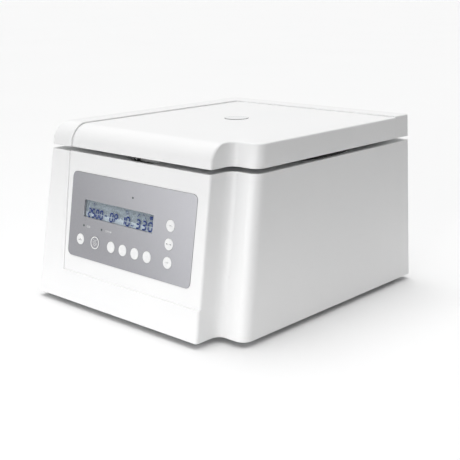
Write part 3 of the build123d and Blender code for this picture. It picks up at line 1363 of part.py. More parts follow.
socket_floor = fitting_plane.offset(INLET_FLANGE_T - INLET_DEEP)
with BuildPart() as inlet_pins:
    with BuildSketch(socket_floor):
        with Locations(
            (INLET_U - PIN_PITCH, FITTING_V - PIN_STEP),
            (INLET_U, FITTING_V + PIN_STEP),
            (INLET_U + PIN_PITCH, FITTING_V - PIN_STEP),
        ):
            Rectangle(PIN_W, PIN_H)
    extrude(amount=INLET_DEEP - PIN_IN)
inlet_pins.part.label = "inlet_pins"
export_step(inlet_pins.part, "parts/inlet_pins.step")

with BuildPart() as inlet_screws:
    with BuildSketch(fitting_plane.offset(INLET_FLANGE_T)):
        with Locations(*inlet_screw_places):
            Circle(HEAD_R)
    extrude(amount=HEAD_T)
    with BuildSketch(fitting_plane.offset(INLET_FLANGE_T)):
        with Locations(*inlet_screw_places):
            Circle(SCREW_R)
    extrude(amount=-INLET_FLANGE_T - 2 * WALL)
    with BuildSketch(fitting_plane.offset(INLET_FLANGE_T + HEAD_T)):
        with Locations(*inlet_screw_places):
            Rectangle(CROSS_L, CROSS_W)
            Rectangle(CROSS_W, CROSS_L)
    extrude(amount=-CROSS_D, mode=Mode.SUBTRACT)
inlet_screws.part.label = "inlet_screws"
export_step(inlet_screws.part, "parts/inlet_screws.step")

# Rocker plane: origin on the pivot, local x up the wall, tilted to the off side.
rocker_plane = Plane(
    origin=fitting_plane.from_local_coords((ROCKER_U, FITTING_V, -ROCKER_SINK)),
    x_dir=back_plane.y_dir * cos(radians(ROCKER_TILT)) + back_plane.z_dir * sin(radians(ROCKER_TILT)),
    z_dir=back_plane.x_dir,
)
pocket_w = ROCKER_W + 2 * ROCKER_GAP
pocket_h = ROCKER_H + 2 * ROCKER_ROOM
with BuildPart() as rocker_bezel:
    with BuildSketch(fitting_plane):
        with Locations((ROCKER_U, FITTING_V)):
            RectangleRounded(
                pocket_w + 2 * (BEZEL_WALL + BEZEL_EDGE),
                pocket_h + 2 * (BEZEL_WALL + BEZEL_EDGE),
                2,
            )
    extrude(amount=BEZEL_T)
    with BuildSketch(fitting_plane):
        with Locations((ROCKER_U, FITTING_V)):
            Rectangle(pocket_w + 2 * BEZEL_WALL, pocket_h + 2 * BEZEL_WALL)
    extrude(amount=-BEZEL_DEEP)
    with BuildSketch(fitting_plane.offset(BEZEL_T)):
        with Locations((ROCKER_U, FITTING_V)):
            Rectangle(pocket_w, pocket_h)
    extrude(amount=-BEZEL_POCKET, mode=Mode.SUBTRACT)
    with BuildSketch(rocker_plane):
        Circle(TRUNNION_R + RUN_FIT)
    extrude(amount=pocket_w / 2 + TRUNNION_L + RUN_FIT, both=True, mode=Mode.SUBTRACT)
rocker_bezel.part.label = "rocker_bezel"
export_step(rocker_bezel.part, "parts/rocker_bezel.step")

with BuildPart() as power_rocker:
    with BuildSketch(rocker_plane.offset(-ROCKER_W / 2)):
        with BuildLine():
            FilletPolyline(
                (-ROCKER_H / 2 + ROCKER_FOOT_IN, -ROCKER_LOW),
                (ROCKER_H / 2 - ROCKER_FOOT_IN, -ROCKER_LOW),
                (ROCKER_H / 2, ROCKER_HIGH),
                (0, ROCKER_MIDDLE),
                (-ROCKER_H / 2, ROCKER_HIGH),
                radius=[ROCKER_EDGE_R, ROCKER_EDGE_R, ROCKER_EDGE_R, ROCKER_DIP_R, ROCKER_EDGE_R],
                close=True,
            )
        make_face()
    extrude(amount=ROCKER_W)
    with BuildSketch(rocker_plane):
        Circle(TRUNNION_R)
    extrude(amount=pocket_w / 2 + TRUNNION_L, both=True)
power_rocker.part.label = "power_rocker"
export_step(power_rocker.part, "parts/power_rocker.step")

# ================================================================ power electronics on the base plate
with BuildPart() as power_supply:
    with BuildSketch(Plane.XY.offset(BASE_TOP_Z)):
        with Locations((PSU_X, PSU_Y)):
            Rectangle(PSU_W, PSU_L)
    extrude(amount=PSU_H)
    with BuildSketch(Plane.XY.offset(BASE_TOP_Z + PSU_H)):
        with Locations((PSU_X, PSU_Y)):
            with GridLocations(1, PSU_SLOT_PITCH, 1, int(PSU_L / PSU_SLOT_PITCH) - 3):
                Rectangle(PSU_W - 2 * PSU_SLOT_IN, PSU_SLOT_W)
    extrude(amount=-PLATE_T, mode=Mode.SUBTRACT)
power_supply.part.label = "power_supply"
export_step(power_supply.part, "parts/power_supply.step")

# Motor driver: circuit board on four posts with a finned heat sink.
driver_z = BASE_TOP_Z + DRIVER_POST_H
with BuildPart() as driver_board:
    with BuildSketch(Plane.XY.offset(BASE_TOP_Z)):
        with Locations((DRIVER_X, DRIVER_Y)):
            with GridLocations(DRIVER_W - 2 * DRIVER_POST_IN, DRIVER_L - 2 * DRIVER_POST_IN, 2, 2):
                Circle(DRIVER_POST_R)
    extrude(amount=DRIVER_POST_H)
    with BuildSketch(Plane.XY.offset(driver_z)):
        with Locations((DRIVER_X, DRIVER_Y)):
            Rectangle(DRIVER_W, DRIVER_L)
    extrude(amount=BOARD_T)
driver_board.part.label = "driver_board"
export_step(driver_board.part, "parts/driver_board.step")

with BuildPart() as heat_sink:
    with BuildSketch(Plane.XY.offset(driver_z + BOARD_T)):
        with Locations((DRIVER_X, DRIVER_Y)):
            Rectangle(SINK_W, SINK_L)
    extrude(amount=SINK_T)
    with BuildSketch(Plane.XY.offset(driver_z + BOARD_T + SINK_T)):
        with Locations((DRIVER_X, DRIVER_Y)):
            with GridLocations(FIN_PITCH, 1, FIN_COUNT, 1):
                Rectangle(FIN_T, SINK_L)
    extrude(amount=FIN_H)
heat_sink.part.label = "heat_sink"
export_step(heat_sink.part, "parts/heat_sink.step")
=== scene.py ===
# %% [markdown]
# # A bench centrifuge for microplates, dressed in Blender
# The shapes come from the engineering model: every moulding, screw and key is already there,
# each on the body that carries it. This script adds what that model doesn't have: the finishes,
# the figures of the display, the printed marks, a lens, a floor, lights and a camera. It also
# gives the lid the straight sides of its mould. It can be read from top to bottom, one cell at
# a time.

# %% Load the fixed frame
from math import cos, degrees, pi, radians, sin, sqrt, tan

import bpy
from mathutils import Matrix, Vector


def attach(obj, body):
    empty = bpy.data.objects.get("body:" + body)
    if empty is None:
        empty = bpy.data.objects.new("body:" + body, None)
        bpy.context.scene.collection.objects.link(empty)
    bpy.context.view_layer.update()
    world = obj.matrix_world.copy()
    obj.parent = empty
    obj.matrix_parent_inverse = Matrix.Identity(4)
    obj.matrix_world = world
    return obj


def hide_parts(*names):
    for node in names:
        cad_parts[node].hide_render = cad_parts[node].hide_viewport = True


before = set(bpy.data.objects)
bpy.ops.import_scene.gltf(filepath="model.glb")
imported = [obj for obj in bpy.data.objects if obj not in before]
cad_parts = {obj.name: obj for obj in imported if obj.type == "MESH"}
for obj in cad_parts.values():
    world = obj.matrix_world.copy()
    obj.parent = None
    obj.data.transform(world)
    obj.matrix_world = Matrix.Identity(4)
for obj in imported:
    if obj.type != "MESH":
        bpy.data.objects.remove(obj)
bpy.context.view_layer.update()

# %% [markdown]
# ## Sizes that the added pieces share
# Blender works in metres. A length that a maker would say in millimetres is written that way
# and turned once. The control front leans back, so its marks are placed by three numbers:
# u to the right, v up the slope, and w out of the face. The rotor turns about an upright axis
# a little behind the middle, and the sight port in the lid stands over it.

# %% Millimetres, the spin axis and the sloping front
MM = 0.001
SPIN_Y = 0.0205
FRONT_LEAN = radians(9.15)
FRONT_FOOT = Vector((0, -0.2102975, 0.008))
SLOPE_UP = Vector((0, sin(FRONT_LEAN), cos(FRONT_LEAN)))
SLOPE_OUT = Vector((0, -cos(FRONT_LEAN), sin(FRONT_LEAN)))
FASCIA_FACE, WINDOW_FACE = 0.6, -1.4  # faces of the fascia and of the display, along w


def on_front(u, v, w):
    """Turns millimetres on the control front into a frame that stands there."""
    spot = FRONT_FOOT + Vector((u * MM, 0, 0)) + SLOPE_UP * v * MM + SLOPE_OUT * w * MM
    turn = Matrix((Vector((1, 0, 0)), SLOPE_UP, SLOPE_OUT)).transposed()
    return Matrix.Translation(spot) @ turn.to_4x4()


print("fascia lies", round(degrees(FRONT_LEAN), 2), "degrees back")

# %% [markdown]
# ## Camera
# A product is usually photographed from a little above, with a lens long enough to keep its
# upright edges nearly parallel. The camera is built from its place, its heading, its dip and
# a slight roll, which is clearer than a target, because nothing else moves it.

# %% Set up the camera
CAMERA_PLACE = (0.8823, -0.9534, 0.4359)
HEADING, DIP, ROLL = radians(42.658), radians(15.003), radians(-0.563)
SENSOR_W, FOCAL_LENGTH = 36, 70.73
ahead = Vector((-sin(HEADING) * cos(DIP), cos(HEADING) * cos(DIP), -sin(DIP)))
level = Vector((cos(HEADING), sin(HEADING), 0))
above = level.cross(ahead)
right = level * cos(ROLL) + above * sin(ROLL)
upward = above * cos(ROLL) - level * sin(ROLL)

lens = bpy.data.cameras.new("studio_camera")
lens.sensor_width = SENSOR_W
lens.lens = FOCAL_LENGTH
camera = bpy.data.objects.new("studio_camera", lens)
bpy.context.collection.objects.link(camera)
turn = Matrix((right, upward, -ahead)).transposed().to_4x4()
camera.matrix_world = Matrix.Translation(CAMERA_PLACE) @ turn
bpy.context.scene.camera = camera
print("camera", round(camera.location.length, 3), "m from the origin")

# %% [markdown]
# ## Helpers for work in edit mode
# An operator acts on whatever is selected, so each piece starts with nothing selected. Faces
# and points are then picked by where they are or which way they look.

# %% Select by place, and finish a piece
def deselect():
    """Leaves object mode with nothing selected."""
    if bpy.context.object and bpy.context.object.mode != "OBJECT":
        bpy.ops.object.mode_set(mode="OBJECT")
    bpy.ops.object.select_all(action="DESELECT")


def pick(piece, kind, wanted):
    """Selects the faces ("FACE") or points ("VERT") that are wanted, and enters edit mode."""
    bpy.ops.object.mode_set(mode="EDIT")
    bpy.ops.mesh.select_mode(type=kind)
    bpy.ops.mesh.select_all(action="DESELECT")
    bpy.ops.object.mode_set(mode="OBJECT")
    for part in piece.data.polygons if kind == "FACE" else piece.data.vertices:
        part.select = wanted(part)
    bpy.ops.object.mode_set(mode="EDIT")


def settle(piece, place, finish, body):
    """Puts a piece at its place in its mesh, gives it a finish and lets it ride on a body."""
    deselect()
    piece.select_set(True)
    bpy.context.view_layer.objects.active = piece
    piece.matrix_world = place @ piece.matrix_world
    bpy.ops.object.transform_apply(location=True, rotation=True, scale=True)
    piece.data.materials.clear()
    piece.data.materials.append(finish)
    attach(piece, body)


print("helpers ready")

# %% [markdown]
# ## Finishes as expressions
# A finish is a handful of nodes: a pattern, a little arithmetic, and a link to the surface.
# Wrapping a socket in a class lets that arithmetic be written as plain Python, so that
# `1 - mask * 0.3` adds its own Math nodes. Colours go through Mix nodes, because a Math node
# would turn them grey.

# %% A socket that can be added and multiplied
class Value:
    """One output of a node. Arithmetic on it adds Math nodes to the same finish."""

    def __init__(self, finish, socket):
        self.finish, self.socket = finish, socket

    def math(self, operation, first, second):
        settings = {"operation": operation}
        return self.finish.node("ShaderNodeMath", settings, {0: first, 1: second})

    def __add__(self, other):
        return self.math("ADD", self, other)

    def __radd__(self, other):
        return self.math("ADD", other, self)

    def __sub__(self, other):
        return self.math("SUBTRACT", self, other)

    def __rsub__(self, other):
        return self.math("SUBTRACT", other, self)

    def __mul__(self, other):
        return self.math("MULTIPLY", self, other)

    def __rmul__(self, other):
        return self.math("MULTIPLY", other, self)

    def above(self, limit, width):
        """0 below the limit, 1 from limit + width on, with a smooth step between."""
        settings = {"interpolation_type": "SMOOTHSTEP"}
        inputs = {"Value": self, "From Min": limit, "From Max": limit + width}
        return self.finish.node("ShaderNodeMapRange", settings, inputs)


# %% A finish and its one method for nodes
EDGE_GAIN = 3.0


class Finish:
    """A material that is built up by name, with its constant values on the surface itself."""

    def __init__(self, name, **constants):
        self.material = bpy.data.materials.new(name)
        self.material.use_nodes = True
        self.tree = self.material.node_tree
        self.surface = self.tree.nodes["Principled BSDF"]
        for socket, value in constants.items():
            self.surface.inputs[socket.replace("_", " ")].default_value = value
        self.place = self.node("ShaderNodeTexCoord", {}, {}, "Object")

    def plug(self, socket, value):
        """Links a Value to a socket, or sets the socket to a constant."""
        if isinstance(value, Value):
            self.tree.links.new(value.socket, socket)
        else:
            socket.default_value = value

    def node(self, kind, settings, inputs, output=0):
        """Adds a node: its type, its settings, then the values or links of its sockets."""
        node = self.tree.nodes.new(kind)
        for name, value in settings.items():
            setattr(node, name, value)
        for name, value in inputs.items():
            self.plug(node.inputs[name], value)
        return Value(self, node.outputs[output])

    def noise(self, scale, detail=3.0, place=None):
        inputs = {"Vector": place or self.place, "Scale": scale, "Detail": detail}
        return self.node("ShaderNodeTexNoise", {}, inputs)

    def stretched(self, scale, turn=(0, 0, 0), centre=(0, 0, 0)):
        """Object coordinates, moved to a centre, turned and stretched."""
        moved = self.node("ShaderNodeMapping", {}, {"Vector": self.place, "Location": centre})
        return self.node("ShaderNodeMapping", {}, {"Vector": moved, "Rotation": turn, "Scale": scale})

    def part(self, vector, axis):
        """One part of a vector or colour: 0 for X, 1 for Y, 2 for Z."""
        return self.node("ShaderNodeSeparateXYZ", {}, {"Vector": vector}, axis)

    def mix(self, factor, first, second):
        """A colour between two: the first where the factor is 0, the second where it is 1."""
        settings = {"data_type": "RGBA"}
        return self.node("ShaderNodeMix", settings, {0: factor, 6: first, 7: second}, 2)

    def edges(self, radius):
        """How close a point is to a sharp edge, and the normal that rounds that edge."""
        rounded = self.node("ShaderNodeBevel", {"samples": 4}, {"Radius": radius})
        flat = self.node("ShaderNodeNewGeometry", {}, {}, "Normal")
        dot = {"operation": "DOT_PRODUCT"}
        same = self.node("ShaderNodeVectorMath", dot, {0: rounded, 1: flat}, "Value")
        return ((1 - same) * EDGE_GAIN).above(0.0, 1.0), rounded

    def bump(self, height, strength, depth, normal=None):
        inputs = {"Height": height, "Strength": strength, "Distance": depth}
        if normal:
            inputs["Normal"] = normal
        return self.node("ShaderNodeBump", {}, inputs)

    def feed(self, **links):
        """Links what changes over the surface: colour, roughness, metallic, normal."""
        for socket, value in links.items():
            self.plug(self.surface.inputs[socket.replace("_", " ")], value)
        return self.material


def grey(level, warm=0.0):
    """A grey with a touch of warmth (or, below zero, of blue)."""
    return (level * (1 + warm), level, level * (1 - warm), 1.0)


finishes = {}
print("shader helpers ready")

# %% [markdown]
# ## White moulded casing
# The casing is foamed plastic with a satin paint. Up close it has a fine grain, and over a
# hand's width its white drifts a little. Its corners are rounded by a few tenths, more than the
# model draws, so the shading rounds them; hands and cloths polish those corners first.

# %% Finish: white casing
def make_white_casing():
    f = Finish("white_casing", Coat_Weight=0.12, Coat_Roughness=0.18, Specular_IOR_Level=0.42)
    edge, rounded = f.edges(0.0004)
    drift = f.noise(7.0, 2.0)
    grain = f.noise(1500.0, 2.0)
    speck = f.noise(260.0, 4.0)
    rub = f.noise(38.0, 3.0).above(0.46, 0.2) * edge
    soil = speck.above(0.66, 0.12) * 0.22
    white = f.mix(drift, grey(0.88, -0.004), grey(0.92, 0.002))
    white = f.mix(soil, white, grey(0.70, 0.01))
    white = f.mix(rub * 0.5, white, grey(0.72, 0.004))
    rough = 0.33 + drift * 0.06 + grain * 0.05 - rub * 0.1
    normal = f.bump(grain + speck * 0.6, 0.16, 0.00012, rounded)
    return f.feed(Base_Color=white, Roughness=rough, Normal=normal)


finishes["white_casing"] = make_white_casing()
print("white casing: colour, roughness, grain and rubbed corners")

# %% [markdown]
# ## White key caps
# The keys are flat discs of a harder, smoother plastic, so the same idea is used with a finer
# grain. Fingers make the middle of each a little shinier and greyer.

# %% Finish: white keys
def make_white_key():
    f = Finish("white_key", Coat_Weight=0.2, Coat_Roughness=0.25)
    edge, rounded = f.edges(0.0004)
    touch = f.noise(210.0, 3.0)
    grain = f.noise(3200.0, 2.0)
    white = f.mix(touch.above(0.4, 0.4), grey(0.84, -0.004), grey(0.90, 0.003))
    white = f.mix(edge * 0.35, white, grey(0.60))
    rough = 0.42 - touch * 0.12 + grain * 0.05
    return f.feed(Base_Color=white, Roughness=rough, Normal=f.bump(grain, 0.12, 0.00005, rounded))


finishes["white_key"] = make_white_key()
print("white keys")

# %% [markdown]
# ## Grey control fascia
# A satin film in metallic grey covers the control panel. Its flakes give it a slight sparkle,
# and a painted highlight makes its colour lighter towards the upper right.

# %% Finish: grey fascia
def make_grey_fascia():
    f = Finish("grey_fascia", Coat_Weight=0.25, Coat_Roughness=0.3)
    edge, rounded = f.edges(0.0006)
    flake = f.node("ShaderNodeTexVoronoi", {}, {"Vector": f.place, "Scale": 1700.0}, "Color")
    sparkle = f.part(flake, 0)
    across = f.part(f.place, 0)
    up = f.part(f.place, 2)
    # painted highlight: the film's colour is lighter towards the upper right, where more light falls
    painted_highlight = (across * 2.3 + up * 2.6 - 0.02).above(0.0, 0.85)
    cloud = f.noise(22.0, 2.0)
    film = f.mix(painted_highlight + cloud * 0.06, (0.25, 0.25, 0.27, 1), (0.46, 0.46, 0.49, 1))
    film = f.mix(sparkle * 0.1, film, grey(0.72, -0.01))
    film = f.mix(edge * 0.15, film, grey(0.6))
    metal = 0.22 + sparkle * 0.18
    rough = 0.4 + cloud * 0.08 - edge * 0.1
    normal = f.bump(sparkle + cloud, 0.05, 0.00006, rounded)
    return f.feed(Base_Color=film, Metallic=metal, Roughness=rough, Normal=normal)


finishes["grey_fascia"] = make_grey_fascia()
print("grey fascia")

# %% [markdown]
# ## Display
# The display is a reflective liquid-crystal cell: a pale grey-blue mirror foil behind glass. The
# window in front is nearly clear. It is made partly transparent, because light then passes
# through to the foil without the dark shadow that solid glass would cast on it. The sight
# port's lens is milky, so it shows only a haze, with painted shade at its rim.

# %% Finishes: display foil, windows and figures
# where the painted shade at the rim of the port's lens starts, and how softly it fades in, in metres
LENS_PAINTED_SHADE_FROM, LENS_PAINTED_SHADE_FADE = 0.0169, 0.0003


def make_display_glass():
    f = Finish("display_glass", Coat_Weight=0.1, Coat_Roughness=0.2, Specular_IOR_Level=0.3)
    cells = f.stretched((2400, 2400, 2400))
    grid = f.node("ShaderNodeTexVoronoi", {"distance": "CHEBYCHEV"}, {"Vector": cells, "Scale": 1.0})
    mottle = f.noise(55.0, 3.0)
    foil = f.mix(mottle, (0.55, 0.64, 0.71, 1), (0.59, 0.68, 0.75, 1))
    foil = f.mix(grid.above(0.35, 0.3) * 0.08, foil, (0.38, 0.47, 0.56, 1))
    rough = 0.5 + mottle * 0.05
    return f.feed(Base_Color=foil, Roughness=rough, Normal=f.bump(grid, 0.04, 0.00003))


def make_clear_window():
    f = Finish("clear_window", Base_Color=(0.86, 0.91, 0.94, 1), Specular_IOR_Level=0.3)
    edge, rounded = f.edges(0.0005)
    smear = f.noise(90.0, 4.0)
    scratch = f.noise(1.0, 3.0, f.stretched((40, 900, 900), (0, 0.4, 0.2)))
    hairline = scratch.above(0.7, 0.04) * 0.25
    alpha = 0.03 + edge * 0.2 + hairline * 0.1
    rough = 0.12 + smear * 0.03 + hairline
    return f.feed(Roughness=rough, Alpha=alpha, Normal=f.bump(scratch, 0.03, 0.00003, rounded))


def make_port_lens():
    """Milky acrylic on top, with painted shade at the rim that stands for the dark chamber seen
    through its edge.
    """
    f = Finish("port_lens", Coat_Weight=0.3, Coat_Roughness=0.1)
    moved = f.stretched((1, 1, 0), centre=(0, -SPIN_Y, 0))
    reach = f.node("ShaderNodeVectorMath", {"operation": "LENGTH"}, {0: moved}, "Value")
    # painted shade: the lens turns nearly black towards its rim
    rim = reach.above(LENS_PAINTED_SHADE_FROM, LENS_PAINTED_SHADE_FADE)
    haze = f.noise(140.0, 3.0)
    milk = f.mix(haze, grey(0.78, -0.01), grey(0.86, -0.01))
    milk = f.mix(rim, milk, grey(0.05, -0.02))
    rough = 0.3 + haze * 0.15 - rim * 0.1
    return f.feed(Base_Color=milk, Roughness=rough, Normal=f.bump(haze, 0.05, 0.00003))


def make_figure_ink():
    f = Finish("figure_ink", Specular_IOR_Level=0.3)
    tone = f.noise(700.0, 2.0)
    ink = f.mix(tone, (0.005, 0.024, 0.15, 1), (0.009, 0.036, 0.2, 1))
    return f.feed(Base_Color=ink, Roughness=0.4 + tone * 0.15, Normal=f.bump(tone, 0.05, 0.00001))


finishes["display_glass"] = make_display_glass()
finishes["clear_window"] = make_clear_window()
port_lens_finish = make_port_lens()
figure_ink = make_figure_ink()
print("display foil, window, lens and figures")

# %% [markdown]
# ## Printed marks
# The small signs on the keys and beside the lamps are screen printed: ink that is a little
# uneven and matt.

# %% Finish: printed marks
def make_print(name, dark, light):
    f = Finish(name, Specular_IOR_Level=0.3)
    patch = f.noise(1800.0, 3.0)
    ink = f.mix(patch.above(0.35, 0.4), dark, light)
    return f.feed(Base_Color=ink, Roughness=0.5 + patch * 0.2, Normal=f.bump(patch, 0.1, 0.00002))


grey_print = make_print("grey_print", grey(0.18, -0.02), grey(0.27, -0.02))
pale_print = make_print("pale_print", grey(0.82), grey(0.92))
print("printed marks")

# %% [markdown]
# ## Rubber and black plastic
# Feet, seal, boot and pads are rubber: matt, a little dusty, with a mould grain. Inlet, bezel
# and solenoid are harder plastic with a spark-eroded texture, which is sharper and shinier.

# %% Finishes: rubber, black plastic and lamp lens
def make_black_rubber():
    f = Finish("black_rubber", Specular_IOR_Level=0.3, Sheen_Weight=0.15, Sheen_Roughness=0.5)
    edge, rounded = f.edges(0.0006)
    dust = f.noise(60.0, 5.0).above(0.5, 0.3)
    grain = f.noise(1900.0, 3.0)
    black = f.mix(dust * 0.6, grey(0.018), grey(0.06, 0.03))
    black = f.mix(edge * 0.4, black, grey(0.1, 0.02))
    rough = 0.68 + dust * 0.16 + grain * 0.08
    return f.feed(Base_Color=black, Roughness=rough, Normal=f.bump(grain, 0.3, 0.0001, rounded))


def make_black_plastic():
    f = Finish("black_plastic")
    edge, rounded = f.edges(0.0005)
    eroded = f.node("ShaderNodeTexVoronoi", {}, {"Vector": f.place, "Scale": 1500.0})
    patch = f.noise(80.0, 3.0)
    black = f.mix(patch, grey(0.014), grey(0.03))
    black = f.mix(edge * 0.5, black, grey(0.09))
    rough = 0.38 + patch * 0.16 - edge * 0.1
    return f.feed(Base_Color=black, Roughness=rough, Normal=f.bump(eroded, 0.25, 0.00008, rounded))


# The lamp lens is dark, with a painted highlight on its rim.
def make_lamp_lens():
    f = Finish("lamp_lens", Coat_Weight=0.6, Coat_Roughness=0.06)
    edge, rounded = f.edges(0.0003)
    depth = f.noise(900.0, 2.0)
    tone_and_painted_highlight = f.mix(depth, (0.035, 0.05, 0.05, 1), (0.10, 0.13, 0.13, 1))
    # painted highlight: the lens is lighter at its sharp edges
    tone_and_painted_highlight = f.mix(edge * 0.6, tone_and_painted_highlight, grey(0.4))
    return f.feed(Base_Color=tone_and_painted_highlight, Roughness=0.16 + depth * 0.1, Normal=rounded)


finishes["black_rubber"] = make_black_rubber()
finishes["black_plastic"] = make_black_plastic()
finishes["lamp_lens"] = make_lamp_lens()
print("rubber, black plastic and lamp lens")

# %% [markdown]
# ## Steel
# Four steels are seen here. The base plate is zinc plated, so it shows the plate's cloudy
# crystals. The bowl is drawn and brushed around its axis, so its scratches are rings. The shaft
# is ground, and the screws are plated and rubbed bright at their edges.

# %% Rings around the spin axis
def ring_lines(f, fine):
    """Noise that changes with the radius and height but hardly around the axis."""
    moved = f.stretched((1, 1, 1), centre=(0, -SPIN_Y, 0))
    flat = f.node("ShaderNodeVectorMath", {"operation": "MULTIPLY"}, {0: moved, 1: (1, 1, 0)})
    reach = f.node("ShaderNodeVectorMath", {"operation": "LENGTH"}, {0: flat}, "Value")
    height = f.part(f.place, 2)
    line = f.node("ShaderNodeCombineXYZ", {}, {"X": reach * fine, "Y": height * fine, "Z": 0.0})
    return f.noise(1.0, 4.0, line)


# %% Finishes: zinc plate, screws, bowl and ground steel
def make_zinc_steel():
    f = Finish("zinc_steel", Metallic=1.0)
    edge, rounded = f.edges(0.0005)
    crystal = f.node("ShaderNodeTexVoronoi", {}, {"Vector": f.place, "Scale": 160.0}, "Color")
    facet = f.part(crystal, 0)
    cloud = f.noise(30.0, 4.0)
    zinc = f.mix(facet, (0.50, 0.52, 0.53, 1), (0.66, 0.67, 0.68, 1))
    zinc = f.mix(cloud.above(0.55, 0.3) * 0.4, zinc, (0.44, 0.45, 0.46, 1))
    zinc = f.mix(edge * 0.5, zinc, grey(0.78))
    rough = 0.3 + facet * 0.16 + cloud * 0.12
    return f.feed(Base_Color=zinc, Roughness=rough, Normal=f.bump(facet, 0.06, 0.00005, rounded))


def make_steel_fastener():
    f = Finish("steel_fastener", Metallic=1.0)
    edge, rounded = f.edges(0.0004)
    pitted = f.noise(1400.0, 4.0)
    steel = f.mix(pitted, (0.46, 0.46, 0.46, 1), (0.60, 0.60, 0.59, 1))
    steel = f.mix(edge * 0.7, steel, grey(0.8))
    rough = 0.24 + pitted * 0.2 - edge * 0.08
    return f.feed(Base_Color=steel, Roughness=rough, Normal=f.bump(pitted, 0.12, 0.00004, rounded))


def make_stainless_bowl():
    f = Finish("stainless_bowl", Metallic=1.0, Anisotropic=0.45)
    edge, rounded = f.edges(0.0006)
    rings = ring_lines(f, 1500.0)
    stain = f.noise(18.0, 4.0)
    steel = f.mix(rings, (0.56, 0.57, 0.58, 1), (0.72, 0.73, 0.74, 1))
    steel = f.mix(stain.above(0.6, 0.2) * 0.25, steel, (0.52, 0.53, 0.53, 1))
    steel = f.mix(edge * 0.5, steel, grey(0.85))
    rough = 0.2 + rings * 0.16 + stain * 0.06
    return f.feed(Base_Color=steel, Roughness=rough, Normal=f.bump(rings, 0.1, 0.00006, rounded))


def make_ground_steel():
    f = Finish("ground_steel", Metallic=1.0)
    edge, rounded = f.edges(0.0004)
    rings = ring_lines(f, 4200.0)
    oil = f.noise(120.0, 3.0)
    steel = f.mix(rings, (0.62, 0.62, 0.63, 1), (0.78, 0.78, 0.79, 1))
    steel = f.mix(oil.above(0.58, 0.2) * 0.3, steel, (0.5, 0.49, 0.46, 1))
    rough = 0.12 + rings * 0.12 + oil * 0.06 - edge * 0.03
    return f.feed(Base_Color=steel, Roughness=rough, Normal=f.bump(rings, 0.07, 0.00003, rounded))


finishes["zinc_steel"] = make_zinc_steel()
finishes["steel_fastener"] = make_steel_fastener()
finishes["stainless_bowl"] = make_stainless_bowl()
finishes["ground_steel"] = make_ground_steel()
print("four steels: zinc plate, screws, bowl and shaft")

# %% [markdown]
# ## Aluminium and brass
# The rotor is milled and then anodised, so faint cutter lines show through a satin skin. The
# carriers are bent sheet with the same skin, without the lines. The motor's casting has the
# rough surface of its sand mould. The inlet's pins are plated brass, scraped by every plug.

# %% Finishes: rotor, carriers, motor and brass
def make_rotor_aluminium():
    f = Finish("rotor_aluminium", Metallic=1.0)
    edge, rounded = f.edges(0.0007)
    cuts = f.noise(1.0, 3.0, f.stretched((130, 2600, 900)))
    skin = f.noise(1300.0, 3.0)
    metal = f.mix(cuts, (0.52, 0.53, 0.56, 1), (0.66, 0.67, 0.70, 1))
    metal = f.mix(edge * 0.6, metal, grey(0.86, -0.01))
    rough = 0.3 + skin * 0.12 + cuts * 0.06 - edge * 0.1
    normal = f.bump(cuts * 0.6 + skin * 0.4, 0.12, 0.00006, rounded)
    return f.feed(Base_Color=metal, Roughness=rough, Normal=normal)


def make_carrier_aluminium():
    f = Finish("carrier_aluminium", Metallic=1.0)
    edge, rounded = f.edges(0.0006)
    rolled = f.noise(1.0, 3.0, f.stretched((2100, 60, 60)))
    handled = f.noise(45.0, 4.0)
    metal = f.mix(rolled, (0.58, 0.60, 0.63, 1), (0.72, 0.73, 0.75, 1))
    metal = f.mix(handled.above(0.58, 0.2) * 0.3, metal, (0.50, 0.51, 0.54, 1))
    metal = f.mix(edge * 0.7, metal, grey(0.9, -0.01))
    rough = 0.34 + handled * 0.1 + rolled * 0.06 - edge * 0.12
    return f.feed(Base_Color=metal, Roughness=rough, Normal=f.bump(rolled, 0.07, 0.00004, rounded))


def make_motor_casting():
    f = Finish("motor_casting", Metallic=0.9)
    edge, rounded = f.edges(0.0008)
    sand = f.noise(900.0, 5.0)
    patch = f.noise(26.0, 3.0)
    cast = f.mix(patch, (0.36, 0.37, 0.38, 1), (0.48, 0.49, 0.50, 1))
    cast = f.mix(edge * 0.5, cast, grey(0.68))
    rough = 0.5 + sand * 0.18 - edge * 0.1
    return f.feed(Base_Color=cast, Roughness=rough, Normal=f.bump(sand, 0.5, 0.0002, rounded))


def make_brass_pin():
    f = Finish("brass_pin", Metallic=1.0)
    edge, rounded = f.edges(0.0004)
    scraped = f.noise(1.0, 3.0, f.stretched((2600, 90, 2600)))
    brass = f.mix(scraped, (0.60, 0.46, 0.20, 1), (0.80, 0.66, 0.36, 1))
    brass = f.mix(edge * 0.5, brass, (0.9, 0.8, 0.52, 1))
    rough = 0.22 + scraped * 0.18
    return f.feed(Base_Color=brass, Roughness=rough, Normal=f.bump(scraped, 0.12, 0.00003, rounded))


finishes["rotor_aluminium"] = make_rotor_aluminium()
finishes["carrier_aluminium"] = make_carrier_aluminium()
finishes["motor_casting"] = make_motor_casting()
finishes["brass_pin"] = make_brass_pin()
print("aluminium and brass")

# %% [markdown]
# ## Circuit boards
# A green lacquer covers copper tracks, which stand up just enough to show. Square cells with
# their borders darkened read as tracks between the pads.

# %% Finish: circuit board
def make_circuit_board():
    f = Finish("circuit_board", Coat_Weight=0.4, Coat_Roughness=0.15)
    cells = {"distance": "MANHATTAN", "feature": "F1"}
    inputs = {"Vector": f.place, "Scale": 210.0, "Randomness": 0.55}
    track = f.node("ShaderNodeTexVoronoi", cells, inputs).above(0.42, 0.06)
    lacquer = f.noise(60.0, 2.0)
    green = f.mix(lacquer, (0.006, 0.07, 0.035, 1), (0.012, 0.12, 0.06, 1))
    green = f.mix(track * 0.6, green, (0.02, 0.2, 0.1, 1))
    rough = 0.35 + lacquer * 0.12 - track * 0.08
    return f.feed(Base_Color=green, Roughness=rough, Normal=f.bump(track, 0.3, 0.00004))


finishes["circuit_board"] = make_circuit_board()
print("circuit boards;", len(finishes), "finishes in all")
